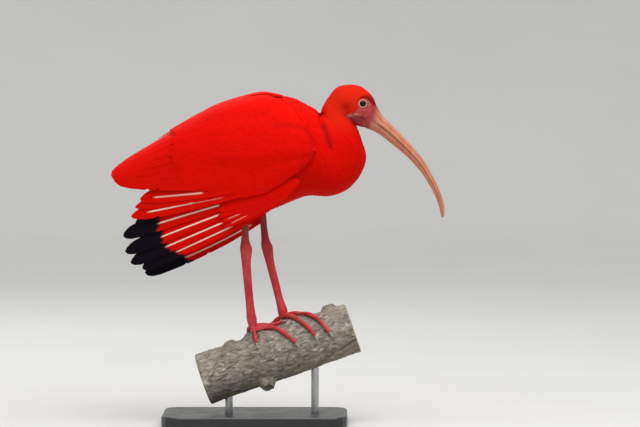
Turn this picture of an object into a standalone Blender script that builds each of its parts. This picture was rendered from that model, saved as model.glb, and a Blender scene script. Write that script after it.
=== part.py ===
"""A life-size scarlet ibis, standing on a short cut length of branch over a plain display stand.

Lengths are in millimetres in this file and become metres where a mesh is made.
+X is the way the bird faces, +Y its left side and +Z up.
Heights are measured from a level 28 mm under the stand, and the finished model moves down by
that much, so that the origin is the middle of the stand's underside.
"""

import math

import bmesh
import bpy
import numpy as np

MM = 0.001
GAP = 0.3
SMALLEST_EDGE = 0.002

# The bird: colours
SCARLET = (0.80, 0.02, 0.01)
FACE_PINK = (0.60, 0.18, 0.16)
BILL_PINK = (0.62, 0.30, 0.20)
LEG_PINK = (0.62, 0.12, 0.11)
EYE_BROWN = (0.03, 0.015, 0.01)
CLAW_GREY = (0.30, 0.20, 0.17)
BARK = (0.22, 0.19, 0.14)
STAND_BLACK = (0.03, 0.03, 0.03)
ROD_STEEL = (0.45, 0.45, 0.46)

# The wing form is the smooth outside of the folded bird, under the feathers.
# Each row is x, height of the ridge, height of the widest place, half width.
WING_FORM = (
    (-200.0, 345.0, 331.0, 14.0),
    (-185.9, 354.9, 339.3, 17.0),
    (-162.5, 373.1, 349.7, 23.0),
    (-141.7, 386.1, 360.1, 28.0),
    (-114.4, 403.0, 370.5, 35.0),
    (-84.5, 419.9, 378.3, 43.0),
    (-52.0, 438.1, 382.2, 49.0),
    (-19.5, 449.2, 383.5, 53.0),
    (13.0, 456.0, 383.5, 55.0),
    (45.5, 453.7, 383.5, 53.0),
    (68.9, 443.3, 381.0, 49.0),
    (80.6, 431.6, 378.0, 46.0),
    (92.0, 415.0, 375.0, 42.0),
)
SKIRT_LEAN = 0.07
SKIRT_EASE = 25.0

# The rump's two rows: dorsal x, z, ventral x, z, half width. Then the belly line: x, height.
RUMP = ((-117.5, 390.5, -103.7, 359.5, 18.0), (-103.0, 402.0, -93.0, 342.0, 31.0))
TORSO_INSET = 1.3
BELLY = ((-80.0, 331.5), (-52.0, 315.0), (-19.5, 306.0), (13.0, 304.0), (45.5, 316.0), (68.9, 324.0))

# Breast, neck and head: dorsal x, z, ventral x, z, half width, place of the widest part.
BREAST = (
    (80.6, 431.6, 97.5, 323.7, 45.0, 0.50),
    (86.0, 421.0, 120.9, 332.8, 38.0, 0.52),
)
NECK = (
    (90.5, 414.5, 137.8, 352.3, 31.5, 0.52),
    (93.6, 416.0, 144.6, 374.4, 26.5, 0.52),
    (93.5, 427.7, 139.3, 395.2, 22.5, 0.50),
    (91.0, 440.1, 133.9, 411.0, 19.0, 0.50),
)
HEAD = (
    (95.5, 452.4, 130.7, 415.6, 17.2, 0.50),
    (106.6, 465.0, 131.3, 414.9, 17.4, 0.50),
    (120.9, 468.5, 133.2, 414.3, 17.4, 0.50),
    (135.2, 467.0, 135.8, 413.7, 16.4, 0.50),
    (146.0, 460.2, 138.5, 413.1, 14.2, 0.52),
    (153.7, 451.4, 141.1, 412.6, 11.8, 0.55),
    (158.0, 441.0, 143.7, 412.1, 9.8, 0.56),
)
BILL = (
    (158.3, 440.6, 144.1, 411.9, 9.6, 0.56),
    (166.4, 427.2, 153.4, 408.2, 7.6, 0.55),
    (175.5, 418.3, 164.2, 401.9, 6.4, 0.54),
    (189.8, 404.2, 178.5, 390.6, 5.5, 0.54),
    (204.4, 388.3, 193.1, 378.8, 4.9, 0.54),
    (216.8, 373.7, 206.3, 365.7, 4.4, 0.54),
    (227.1, 357.2, 217.9, 351.6, 4.0, 0.54),
    (236.5, 338.7, 228.1, 335.4, 3.6, 0.54),
    (242.7, 323.9, 234.9, 321.8, 3.3, 0.54),
    (246.2, 309.9, 239.4, 308.9, 2.9, 0.54),
    (246.2, 300.2, 241.4, 299.6, 2.2, 0.54),
    (244.8, 296.2, 242.6, 295.9, 1.1, 0.54),
)

EYE_PLACE = (139.5, 443.7)
EYE_RADIUS = 5.4
EYE_DEPTH = 3.9
LID_RADIUS = 4.75
LID_THICKNESS = 1.0
GAPE_GROOVE = 0.55
NOSTRIL_LENGTH = 8.0
NOSTRIL_WIDTH = 1.1

# The perch: a branch that rises towards the bird's front.
BRANCH_MIDDLE = (32.5, 119.6)
BRANCH_RISE = math.radians(19.0)
BRANCH_RADIUS = 34.0
BRANCH_ENDS = (-106.0, 100.0)
BRANCH_SIDES = 24

BASE_UNDERSIDE = 28.0
BASE_SIZE = (240.0, 156.0, 14.0)
BASE_CORNER = 22.0
ROD_RADIUS = 5.0
ROD_PLACES = (-34.0, 78.0)
ROD_SOCKET = 8.0

VANE_THICKNESS = 0.6
SHAFT_RIDGE = 0.4

TOE_RADIUS = 2.8
CLAW_LENGTH = 7.5


def through(rows, t):
    """The rows' values at t, counted in rows, on a smooth curve through all of them."""
    rows = np.asarray(rows, float)
    last = len(rows) - 1
    i = int(min(max(math.floor(t), 0), last - 1))
    u = t - i
    before, start, end, after = (rows[min(max(k, 0), last)] for k in (i - 1, i, i + 1, i + 2))
    return 0.5 * (
        2 * start
        + (end - before) * u
        + (2 * before - 5 * start + 4 * end - after) * u**2
        + (3 * start - before - 3 * end + after) * u**3
    )


def smooth(rows, count):
    """That many rows, evenly spread in t, on the smooth curve through the rows."""
    return np.array([through(rows, t) for t in np.linspace(0, len(rows) - 1, count)])


def step(x, low, high):
    """0 below low, 1 above high, and a smooth step between."""
    u = min(max((x - low) / (high - low), 0.0), 1.0)
    return u * u * (3 - 2 * u)


def material(name, colour, roughness=0.6, metallic=0.0):
    made = bpy.data.materials.new(name)
    made.use_nodes = True
    shader = made.node_tree.nodes["Principled BSDF"]
    shader.inputs["Base Color"].default_value = (*colour, 1.0)
    shader.inputs["Roughness"].default_value = roughness
    shader.inputs["Metallic"].default_value = metallic
    return made


def mesh_object(name, points, faces, collection, finish=None):
    """A mesh object from points in millimetres."""
    mesh = bpy.data.meshes.new(name)
    mesh.from_pydata([tuple(float(v) * MM for v in p) for p in points], [], faces)
    mesh.update()
    made = bpy.data.objects.new(name, mesh)
    collection.objects.link(made)
    if finish:
        mesh.materials.append(finish)
    return made


def loft(rings):
    """Points and faces of a closed body through rings of equal count, with flat ends."""
    count = len(rings[0])
    points = [p for ring in rings for p in ring]
    faces = []
    for i in range(len(rings) - 1):
        for j in range(count):
            a, b = i * count + j, i * count + (j + 1) % count
            faces.append((a, b, b + count))
            faces.append((a, b + count, a + count))
    faces.append(tuple(reversed(range(count))))
    faces.append(tuple(range((len(rings) - 1) * count, len(rings) * count)))
    return points, faces


def facing_out(obj):
    """Recalculates the normals, so that they point out of the closed body."""
    shape = bmesh.new()
    shape.from_mesh(obj.data)
    bmesh.ops.triangulate(shape, faces=[f for f in shape.faces if len(f.verts) > 4])
    bmesh.ops.recalc_face_normals(shape, faces=shape.faces)
    shape.to_mesh(obj.data)
    shape.free()
    return obj


def largest_surface(obj):
    """Keeps only the closed surface with the most volume."""
    shape = bmesh.new()
    shape.from_mesh(obj.data)
    bmesh.ops.triangulate(shape, faces=shape.faces)
    unseen = set(shape.faces)
    islands = []
    while unseen:
        island, front = set(), [unseen.pop()]
        while front:
            face = front.pop()
            island.add(face)
            for edge in face.edges:
                for other in edge.link_faces:
                    if other in unseen:
                        unseen.remove(other)
                        front.append(other)
        islands.append(island)

    def volume(island):
        return sum(
            f.verts[0].co.dot(f.verts[1].co.cross(f.verts[2].co)) / 6 for f in island
        )

    kept = max(islands, key=volume)
    dropped = [f for island in islands if island is not kept for f in island]
    bmesh.ops.delete(shape, geom=dropped, context="FACES")
    bmesh.ops.dissolve_degenerate(shape, edges=shape.edges, dist=SMALLEST_EDGE * MM)
    bmesh.ops.triangulate(shape, faces=shape.faces)
    shape.to_mesh(obj.data)
    shape.free()
    return obj


def boolean(obj, pieces, operation, solver="EXACT"):
    """Applies one Boolean with a collection of closed pieces, then removes the pieces."""
    group = bpy.data.collections.new(obj.name + "_pieces")
    bpy.context.scene.collection.children.link(group)
    for piece in pieces:
        for home in list(piece.users_collection):
            home.objects.unlink(piece)
        group.objects.link(piece)
    modifier = obj.modifiers.new("pieces", "BOOLEAN")
    modifier.operation = operation
    modifier.operand_type = "COLLECTION"
    modifier.collection = group
    modifier.solver = solver
    bpy.context.view_layer.update()
    graph = bpy.context.evaluated_depsgraph_get()
    joined = bpy.data.meshes.new_from_object(obj.evaluated_get(graph))
    obj.modifiers.clear()
    obj.data = joined
    for piece in pieces:
        bpy.data.objects.remove(piece)
    bpy.data.collections.remove(group)
    return largest_surface(obj)


def finished(obj, finish, smooth_angle=40.0):
    obj.data.materials.clear()
    obj.data.materials.append(finish)
    obj.data.shade_smooth()
    obj.data.set_sharp_from_angle(angle=math.radians(smooth_angle))
    return obj


def new_collection(name):
    made = bpy.data.collections.new(name)
    bpy.context.scene.collection.children.link(made)
    return made


# The wing form

FORM = smooth(WING_FORM, 160)


def form_at(x):
    """Ridge height, height of the widest place and half width at x."""
    return tuple(float(np.interp(x, FORM[:, 0], FORM[:, k])) for k in (1, 2, 3))


def form_section(x, down):
    """y and z on the wing form at x, that far down the section from the ridge."""
    ridge, middle, width = form_at(x)
    angles = np.linspace(0, math.pi / 2, 33)
    ys, zs = width * np.sin(angles), middle + (ridge - middle) * np.cos(angles)
    lengths = np.concatenate([[0], np.cumsum(np.hypot(np.diff(ys), np.diff(zs)))])
    if down <= lengths[-1]:
        return float(np.interp(down, lengths, ys)), float(np.interp(down, lengths, zs))
    depth = down - lengths[-1]
    lean = SKIRT_LEAN * (math.hypot(depth, SKIRT_EASE) - SKIRT_EASE)
    return width - lean, middle - depth


def down_to(x, z):
    """How far down the section from the ridge the height z is, at x."""
    ridge, middle, width = form_at(x)
    if z <= middle:
        angles = np.linspace(0, math.pi / 2, 33)
        ys, zs = width * np.sin(angles), middle + (ridge - middle) * np.cos(angles)
        return float(np.sum(np.hypot(np.diff(ys), np.diff(zs)))) + middle - z
    share = min((z - middle) / (ridge - middle), 1.0)
    end = math.acos(share)
    angles = np.linspace(0, end, 33)
    ys, zs = width * np.sin(angles), middle + (ridge - middle) * np.cos(angles)
    return float(np.sum(np.hypot(np.diff(ys), np.diff(zs))))


def on_wing(side):
    """A function that places x, distance down from the ridge and lift on that side's wing form."""

    def place(x, down, lift):
        down = max(down, 1.2)
        y, z = form_section(x, down)
        ya, za = form_section(x + 1.0, down)
        yb, zb = form_section(x, down + 1.0)
        along = np.array([1.0, ya - y, za - z])
        across = np.array([0.0, yb - y, zb - z])
        normal = np.cross(across, along)
        normal /= np.linalg.norm(normal)
        if normal[1] < 0 and abs(normal[1]) > abs(normal[2]):
            normal = -normal
        if normal[2] < 0 and abs(normal[2]) >= abs(normal[1]):
            normal = -normal
        point = np.array([x, y, z]) + normal * lift
        return np.array([point[0], side * max(point[1], 0.4), point[2]])

    return place


# Feather vanes

LONG_VANE = ((0.0, 0.62), (0.32, 0.95), (0.68, 1.0), (0.9, 0.68), (1.0, 0.18))
SHORT_VANE = ((0.0, 0.66), (0.5, 1.0), (0.84, 0.78), (1.0, 0.24))
ROOT_SHARE = 0.3


def vane(place, root, tip, inner, outer, lifts, tilt=0.1, bow=0.0, sink=0.0, stations=LONG_VANE):
    """A flight feather as a thin closed plate: root and tip in the place function's two
    coordinates, inner and outer widths either side of the shaft, and the lift of its underside
    at the root and the tip. The tilt raises the outer edge, so that it lies on the next feather.
    The sink lowers the root's end into what carries it."""
    root, tip = np.array(root, float), np.array(tip, float)
    along = (tip - root) / np.linalg.norm(tip - root)
    across = np.array([along[1], -along[0]])
    if across[1] < 0:
        across = -across
    upper, lower = [], []
    for s, width in stations:
        middle = root + (tip - root) * s + across * bow * 4 * s * (1 - s)
        lift = lifts[0] + (lifts[1] - lifts[0]) * s - sink * max(0.0, 1 - s / ROOT_SHARE)
        row = (
            (-inner * width, -tilt * inner * width, 0.0),
            (0.0, 0.0, SHAFT_RIDGE * (1 - 0.7 * s)),
            (outer * width, tilt * outer * width, 0.0),
        )
        for offset, rise, more in row:
            x, down = middle + across * offset
            lower.append(place(x, down, lift + rise))
            upper.append(place(x, down, lift + rise + VANE_THICKNESS + more))
    points = upper + lower
    count, half = 3, len(upper)
    faces = []
    for i in range(len(stations) - 1):
        for j in range(count - 1):
            a, b = i * count + j, i * count + j + 1
            c, d = b + count, a + count
            faces += [(a, b, c), (a, c, d)]
            faces += [(a + half, c + half, b + half), (a + half, d + half, c + half)]
        for j in (0, count - 1):
            a, d = i * count + j, (i + 1) * count + j
            faces += [(a, d, d + half), (a, d + half, a + half)]
    for i in (0, len(stations) - 1):
        for j in range(count - 1):
            a, b = i * count + j, i * count + j + 1
            faces += [(a, b, b + half), (a, b + half, a + half)]
    return points, faces


def tier(name, side, roots, tips, widths, lifts, group, tilt=0.1, bow=0.0, sinks=(0.0, 0.0), count=None,
         drop=0.0, stations=LONG_VANE, from_ridge=False):
    """A row of vanes on one wing. Roots and tips are lines of x and z places, read evenly, or of
    x and the distance down from the ridge.
    The lifts are the first feather's at its root and tip, then the last one's, and the sinks
    are the first feather's and the last one's."""
    place = on_wing(side)
    count = count or len(tips)
    made = []
    for k, (root, tip) in enumerate(zip(smooth(roots, count), smooth(tips, count))):
        share = k / max(count - 1, 1)
        size = 1.0 + 0.05 * math.sin(2.4 * k)
        if from_ridge:
            start, end = root, tip
        else:
            start = (root[0], down_to(root[0], root[1]) + drop * 0.3)
            end = (tip[0], down_to(tip[0], tip[1]) + drop)
        lift = [a + (b - a) * share for a, b in zip(*lifts)]
        sink = sinks[0] + (sinks[1] - sinks[0]) * share
        points, faces = vane(place, start, end, widths[0] * size, widths[1] * size, lift, tilt, bow,
                             sink, stations)
        made.append(facing_out(mesh_object(f"{name}_{k}", points, faces, group)))
    return made


# Body, neck and head

def belly_row(x, low):
    """A row of the torso, just inside the wing form."""
    ridge, middle, width = form_at(x)
    top = ridge - TORSO_INSET
    return (x, top, x, low, width - TORSO_INSET, (top - middle) / (top - low))


BODY_ROWS = (
    [(*row, 0.5) for row in RUMP]
    + [belly_row(x, low) for x, low in BELLY]
    + list(BREAST)
    + list(NECK)
    + list(HEAD)
)
NECK_START = len(RUMP) + len(BELLY) + len(BREAST) - 1
HEAD_START = NECK_START + len(NECK) + 1
BODY_END = len(BODY_ROWS) - 1


def row_point(row, angle, side=1.0):
    """The point of a row's ring at an angle from its dorsal point."""
    dorsal, ventral = np.array([row[0], 0, row[1]]), np.array([row[2], 0, row[3]])
    run = ventral - dorsal
    c, s = math.cos(angle), math.sin(angle)
    share = row[5] * (1 - c) if c > 0 else row[5] - (1 - row[5]) * c
    return dorsal + run * share + np.array([0, side * row[4] * s, 0])


def row_ring(row, count):
    return [row_point(row, 2 * math.pi * j / count) for j in range(count)]


def body_length(rows, start, end, count, sides, shifts=(0.0, 0.0)):
    """Rings of the body from start to end, in rows. The shifts move the end rings off their
    planes, so that the next length of the body stays clear."""
    rings = [row_ring(through(rows, t), sides) for t in np.linspace(start, end, count)]
    for k, shift in zip((0, -1), shifts):
        row = through(rows, (start, end)[k])
        plane = np.array([row[3] - row[1], 0, row[0] - row[2]])
        plane *= -shift / np.linalg.norm(plane)
        rings[k] = [p + plane for p in rings[k]]
    return rings


def make_torso(group, finish):
    rings = body_length(BODY_ROWS, 0, NECK_START, 16, 28)
    torso = facing_out(mesh_object("torso", *loft(rings), group))
    return finished(torso, finish)


def make_neck(group, finish):
    rings = body_length(BODY_ROWS, NECK_START, HEAD_START, 10, 24, (GAP, -GAP))
    return finished(facing_out(mesh_object("neck", *loft(rings), group)), finish)


def sphere(name, centre, radius, group, segments=16, rings=9):
    bpy.ops.mesh.primitive_uv_sphere_add(
        segments=segments,
        ring_count=rings,
        radius=radius * MM,
        location=[c * MM for c in centre],
        rotation=(math.pi / 2, 0, 0),
    )
    made = bpy.context.object
    made.name = name
    move_to(made, group)
    bake_place(made)
    return made


def move_to(obj, group):
    for home in list(obj.users_collection):
        home.objects.unlink(obj)
    group.objects.link(obj)


def bake_place(obj):
    """Puts the object's placement into its mesh."""
    bpy.context.view_layer.update()
    obj.data.transform(obj.matrix_world)
    obj.location = (0, 0, 0)
    obj.rotation_euler = (0, 0, 0)
    obj.scale = (1, 1, 1)
    bpy.context.view_layer.update()


def tube(name, path, radii, group, resolution=2):
    """A round tube along a path of points, from a curve with a bevel, as a closed mesh."""
    curve = bpy.data.curves.new(name, "CURVE")
    curve.dimensions = "3D"
    curve.bevel_depth = MM
    curve.bevel_resolution = resolution
    curve.use_fill_caps = True
    spline = curve.splines.new("POLY")
    spline.points.add(len(path) - 1)
    for point, place, radius in zip(spline.points, path, radii):
        point.co = (*[float(c) * MM for c in place], 1.0)
        point.radius = float(radius)
    holder = bpy.data.objects.new(name + "_curve", curve)
    group.objects.link(holder)
    bpy.context.view_layer.update()
    graph = bpy.context.evaluated_depsgraph_get()
    mesh = bpy.data.meshes.new_from_object(holder.evaluated_get(graph))
    made = bpy.data.objects.new(name, mesh)
    made.matrix_world = holder.matrix_world
    group.objects.link(made)
    bpy.data.objects.remove(holder)
    shape = bmesh.new()
    shape.from_mesh(mesh)
    bmesh.ops.remove_doubles(shape, verts=shape.verts, dist=1e-6)
    shape.to_mesh(mesh)
    shape.free()
    return facing_out(made)


def eye_centre(side):
    """The middle of the eyeball, as deep in the head as its depth says."""
    best = min(
        (
            (np.linalg.norm(p[[0, 2]] - np.array(EYE_PLACE)), abs(p[1]))
            for t in np.linspace(HEAD_START, BODY_END, 60)
            for a in np.linspace(0.2, 2.6, 60)
            for p in [row_point(through(BODY_ROWS, t), a)]
        ),
    )
    return np.array([EYE_PLACE[0], side * (best[1] - EYE_DEPTH), EYE_PLACE[1]])


def gape_path(side):
    """The line of the mouth from the bill's base back to its corner under the eye."""
    points = []
    for share in np.linspace(0, 1, 7):
        t = BODY_END + 0.05 - 3.4 * share
        angle = 1.62 + 0.45 * share - 0.1 * math.sin(math.pi * share)
        points.append(row_point(through(BODY_ROWS, min(t, BODY_END)), angle, side))
    points[0] = points[0] + (points[0] - points[1]) * 0.5
    return points


def make_head(group, finish):
    rings = body_length(BODY_ROWS, HEAD_START, BODY_END, 12, 22)
    head = facing_out(mesh_object("head", *loft(rings), group))
    lids = []
    for side in (-1, 1):
        centre = eye_centre(side)
        bpy.ops.mesh.primitive_torus_add(
            major_radius=LID_RADIUS * MM,
            minor_radius=LID_THICKNESS * MM,
            major_segments=16,
            minor_segments=6,
            location=[centre[0] * MM, (centre[1] + side * (EYE_DEPTH - 0.8)) * MM, centre[2] * MM],
            rotation=(math.pi / 2, 0, 0),
        )
        lid = bpy.context.object
        lid.name = f"lid_{side}"
        move_to(lid, group)
        bake_place(lid)
        lids.append(lid)
    boolean(head, lids, "UNION")
    cutters = [
        sphere(f"socket_{side}", eye_centre(side), EYE_RADIUS + GAP, group) for side in (-1, 1)
    ]
    cutters += [
        tube(f"gape_{side}", gape_path(side), [GAPE_GROOVE] * 7, group, 1) for side in (-1, 1)
    ]
    boolean(head, cutters, "DIFFERENCE")
    return finished(head, finish)


def make_eyes(group, finish):
    for name, side in (("eye_right", -1), ("eye_left", 1)):
        eye = sphere(name, eye_centre(side), EYE_RADIUS, group)
        finished(eye, finish, 180)


def half_ring(row, upper, sides=8):
    """Half of a row's ring: the upper or the lower mandible's section."""
    angles = np.linspace(-math.pi / 2, math.pi / 2, sides)
    if upper:
        return [row_point(row, a) for a in angles]
    ring = [row_point(row, math.pi + a) for a in angles]
    run = np.array([row[2] - row[0], 0, row[3] - row[1]])
    return [p + run / np.linalg.norm(run) * GAP for p in ring]


def make_bill(group, finish):
    rows = smooth(BILL, 15)
    start = np.array([0.9, 0, -0.75]) * GAP * 1.4
    for name, upper in (("bill_upper", True), ("bill_lower", False)):
        rings = [half_ring(row, upper) for row in rows]
        rings[0] = [p + start for p in rings[0]]
        bill = facing_out(mesh_object(name, *loft(rings), group))
        if upper:
            cutters = []
            for side in (-1, 1):
                path = [
                    row_point(through(BILL, t), 0.95, side)
                    for t in np.linspace(0.45, 0.45 + NOSTRIL_LENGTH / 14, 5)
                ]
                radii = [NOSTRIL_WIDTH * r for r in (0.3, 0.8, 0.8, 0.6, 0.25)]
                cutters.append(tube(f"nostril_{side}", path, radii, group, 1))
            boolean(bill, cutters, "DIFFERENCE")
        finished(bill, finish)


# Wings. The arm's upper edge is x and the distance down from the ridge; its lower edge is x and
# height.

ARM_TOP = ((-96.0, 1.6), (-70.0, 2.0), (-40.0, 3.5), (-10.0, 8.0), (15.0, 16.0), (35.0, 29.0),
           (53.0, 45.0), (65.0, 57.0), (74.0, 68.0), (78.5, 76.0))
ARM_BOTTOM = ((-96.0, 338.0), (-65.0, 333.5), (-39.0, 325.0), (-13.0, 323.0), (13.0, 329.0), (39.0, 344.5),
              (58.5, 359.0), (68.0, 367.0), (74.0, 374.0), (78.5, 384.0))
ARM_BULGE = 8.0
ARM_EDGE = 1.3
HAND_ROOM = 6.6


def arm_section(x, across):
    """One section of the arm's pad: the outer side down, then the inner side up."""
    top = float(np.interp(x, *zip(*ARM_TOP)))
    low = down_to(x, float(np.interp(x, *zip(*ARM_BOTTOM))))
    front = 1 - step(x, 50.0, 79.0)
    shares = 0.5 - 0.5 * np.cos(np.linspace(0, math.pi, across))
    outer, inner = [], []
    for t in shares:
        under = 0.9 + HAND_ROOM * step(t, 0.62, 0.8) * step(80.0 - x, 0.0, 30.0)
        bulge = ARM_EDGE + ARM_BULGE * (math.sin(math.pi * t) ** 0.8) * (0.35 + 0.65 * front)
        rear = 1 - 0.75 * (1 - step(x, -96.0, -30.0))
        thick = (ARM_EDGE + (bulge - ARM_EDGE) * rear) * (1 - 0.4 * step(t, 0.62, 0.8))
        down = top + (low - top) * t
        inner.append((x, down, under))
        outer.append((x, down, under + thick))
    return outer + inner[::-1]


def make_wing(name, side, group, finish):
    place = on_wing(side)
    xs = np.concatenate([np.linspace(-96, 58, 9), [68, 78.3]])
    rings = [[place(*spot) for spot in arm_section(x, 8)] for x in xs]
    arm = facing_out(mesh_object(name, *loft(rings), group))
    pieces = tier(
        "scapular", side,
        roots=((36.0, 20.0), (-22.0, 50.0)), tips=((-70.0, 6.0), (-134.0, 5.0)),
        widths=(8.0, 9.0), lifts=((4.0, 6.4), (6.0, 5.6)), group=group, tilt=0.08,
        sinks=(4.0, 5.0), count=3, from_ridge=True,
    )
    pieces += tier(
        "long_scapular", side,
        roots=((-48.0, 62.0), (-48.0, 62.0)), tips=((-166.0, 4.5), (-166.0, 4.5)),
        widths=(7.5, 9.0), lifts=((6.6, 4.0), (6.6, 4.0)), group=group, tilt=0.1,
        sinks=(4.0, 4.0), count=1, from_ridge=True,
    )
    pieces += tier(
        "tertial", side,
        roots=((-58.0, 412.0), (-52.0, 390.0), (-46.0, 362.0), (-42.0, 344.0)),
        tips=((-161.0, 367.5), (-177.0, 358.0), (-183.0, 347.0), (-158.0, 337.5)),
        widths=(11.0, 9.5), lifts=((2.6, 1.8), (9.2, 5.2)), group=group, tilt=0.15,
        sinks=(1.5, 1.5),
    )
    pieces += tier(
        "secondary", side,
        roots=((-37.0, 336.0), (-28.0, 331.0), (-16.0, 326.0)),
        tips=((-133.9, 333.5), (-141.0, 324.0), (-148.0, 314.5), (-154.0, 305.5), (-158.6, 296.4)),
        widths=(12.0, 7.5), lifts=((9.2, 3.4), (8.2, 2.8)), group=group, tilt=0.12, bow=1.5,
    )
    pieces += tier(
        "covert", side,
        roots=((-22.0, 412.0), (-8.0, 385.0), (0.0, 355.0), (4.0, 340.0)),
        tips=((-78.0, 399.0), (-82.0, 382.0), (-78.0, 364.0), (-68.0, 348.0), (-50.0, 334.0)),
        widths=(9.0, 8.5), lifts=((8.0, 6.8), (11.0, 10.8)), group=group, tilt=0.1,
        sinks=(4.0, 4.0), stations=SHORT_VANE,
    )
    boolean(arm, pieces, "UNION")
    return finished(arm, finish)


HAND_PATH = ((57.0, 345.0), (40.0, 335.5), (20.0, 322.0), (0.0, 311.0), (-18.0, 304.0), (-32.0, 299.0))
HAND_WIDTHS = (6.0, 10.5, 13.0, 14.0, 13.5, 11.0)


def make_hand(name, side, group, finish, drop):
    """The hand of the folded wing, with the primaries and their coverts."""
    place = on_wing(side)
    rows = smooth([(*p, w) for p, w in zip(HAND_PATH, HAND_WIDTHS)], 9)
    rings = []
    for k, (x, z, width) in enumerate(rows):
        middle = down_to(x, z) + drop * 0.3
        ends = 0.45 + 0.55 * math.sin(math.pi * (k + 0.5) / len(rows))
        ring = []
        for angle in np.linspace(0, 2 * math.pi, 10, endpoint=False):
            lift = 3.6 + 2.5 * ends * math.sin(angle)
            ring.append(place(x + 0.25 * width * math.cos(angle), middle + width * math.cos(angle), lift))
        rings.append(ring)
    pad = facing_out(mesh_object(name, *loft(rings), group))
    pieces = tier(
        "primary", side,
        roots=((0.0, 330.0), (6.0, 321.0), (12.0, 306.0)),
        tips=((-157.0, 301.0), (-163.5, 288.0), (-169.9, 273.7), (-167.4, 252.7), (-160.6, 238.3), (-145.6, 231.4)),
        widths=(10.2, 9.4), lifts=((4.6, 0.6), (1.3, -0.6)), group=group, tilt=0.085, bow=-2.2, drop=drop,
    )
    pieces += tier(
        "primary_covert", side,
        roots=((36.0, 338.0), (38.0, 333.0), (41.0, 328.0)),
        tips=((-40.3, 321.0), (-46.5, 309.0), (-45.5, 296.5), (-37.7, 285.0)),
        widths=(7.5, 6.0), lifts=((5.6, 5.9), (4.8, 4.6)), group=group, tilt=0.09, bow=2.0,
        sinks=(1.0, 1.0), drop=drop * 0.5, stations=SHORT_VANE,
    )
    boolean(pad, pieces, "UNION")
    return finished(pad, finish)


# Tail

TAIL_PAIRS = 3
TAIL_ROOT = (-110.8, 375.2)
TAIL_LENGTH = 58.0
TAIL_SLOPE = math.radians(24.0)


def make_tail(group, finish):
    """A short fan of feathers in a low arch, under the wings' tips."""
    run = np.array([-math.cos(TAIL_SLOPE), 0, -math.sin(TAIL_SLOPE)])
    up = np.array([-math.sin(TAIL_SLOPE), 0, math.cos(TAIL_SLOPE)])

    def place(out, across, lift):
        arch = -0.006 * across * across
        return (np.array([TAIL_ROOT[0], 0, TAIL_ROOT[1]]) + run * out
                + np.array([0, across, 0]) + up * (lift + arch))

    rings = []
    for out, width, high in ((GAP, 15.0, 11.0), (8.0, 13.0, 8.0), (17.0, 11.0, 4.6), (24.0, 9.0, 2.4)):
        rings.append([
            place(out, width * math.cos(a), high * math.sin(a) - 1.0)
            for a in np.linspace(0, 2 * math.pi, 14, endpoint=False)
        ])
    root = facing_out(mesh_object("tail", *loft(rings), group))
    pieces = []
    for k in range(-TAIL_PAIRS, TAIL_PAIRS + 1):
        side = 1 if k > 0 else -1
        lift = 2.6 - 1.3 * abs(k)
        points, faces = vane(
            lambda out, across, lift, side=side: place(out, side * across, lift),
            (8.0, 2.2 * abs(k)), (TAIL_LENGTH - abs(k), 5.0 * abs(k)), 4.5, 4.5, (lift, lift), tilt=-0.04,
        )
        pieces.append(facing_out(mesh_object(f"rectrix_{k + TAIL_PAIRS}", points, faces, group)))
    boolean(root, pieces, "UNION")
    return finished(root, finish)


# Perch

RISE = np.array([math.cos(BRANCH_RISE), 0, math.sin(BRANCH_RISE)])
OVER = np.array([-math.sin(BRANCH_RISE), 0, math.cos(BRANCH_RISE)])


def bark(along, angle, height=0.0):
    """A point over the bark: how far along the branch, the angle from its top towards the bird's
    right side, and the height above the bark."""
    uneven = 1 + 0.018 * math.sin(0.045 * along + 1.0) + 0.012 * math.sin(3 * angle + 0.03 * along)
    radius = BRANCH_RADIUS * uneven + height
    middle = np.array([BRANCH_MIDDLE[0], 0, BRANCH_MIDDLE[1]]) + RISE * along
    middle = middle - OVER * 0.0006 * max(abs(along) - 75.0, 0.0) ** 2
    return middle + OVER * radius * math.cos(angle) - np.array([0, radius * math.sin(angle), 0])


# Along the branch, angle in degrees, radius and height of each knot.
KNOTS = ((-58.0, 10.0, 7.0, 4.5), (78.0, -15.0, 8.0, 6.0), (-28.0, 152.0, 8.5, 9.0))


def make_perch(group, finish):
    rings = [
        [bark(along, 2 * math.pi * j / BRANCH_SIDES) for j in range(BRANCH_SIDES)]
        for along in np.linspace(*BRANCH_ENDS, 15)
    ]
    branch = facing_out(mesh_object("perch_branch", *loft(rings), group))
    knots = []
    for k, (along, degrees, radius, height) in enumerate(KNOTS):
        angle = math.radians(degrees)
        path = [bark(along - 0.4 * h, angle, h) for h in (-9.0, 0.5 * height, height)]
        knots.append(tube(f"knot_{k}", path, (radius * 1.25, radius, radius * 0.8), group, 2))
    boolean(branch, knots, "UNION")
    boolean(branch, rod_sockets(group), "DIFFERENCE")
    return finished(branch, finish, 50)


def rod_top(x):
    """The height where a rod's end stops inside the branch."""
    middle = BRANCH_MIDDLE[1] + (x - BRANCH_MIDDLE[0]) * math.tan(BRANCH_RISE)
    return middle - BRANCH_RADIUS / math.cos(BRANCH_RISE) + ROD_SOCKET


def cylinder(name, x, low, high, radius, group, sides=16):
    bpy.ops.mesh.primitive_cylinder_add(
        vertices=sides,
        radius=radius * MM,
        depth=(high - low) * MM,
        location=(x * MM, 0, (low + high) / 2 * MM),
    )
    made = bpy.context.object
    made.name = name
    move_to(made, group)
    bake_place(made)
    return made


def rod_sockets(group):
    return [
        cylinder(f"socket_{k}", x, BASE_UNDERSIDE, rod_top(x) + GAP, ROD_RADIUS + GAP, group)
        for k, x in enumerate(ROD_PLACES)
    ]


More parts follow.
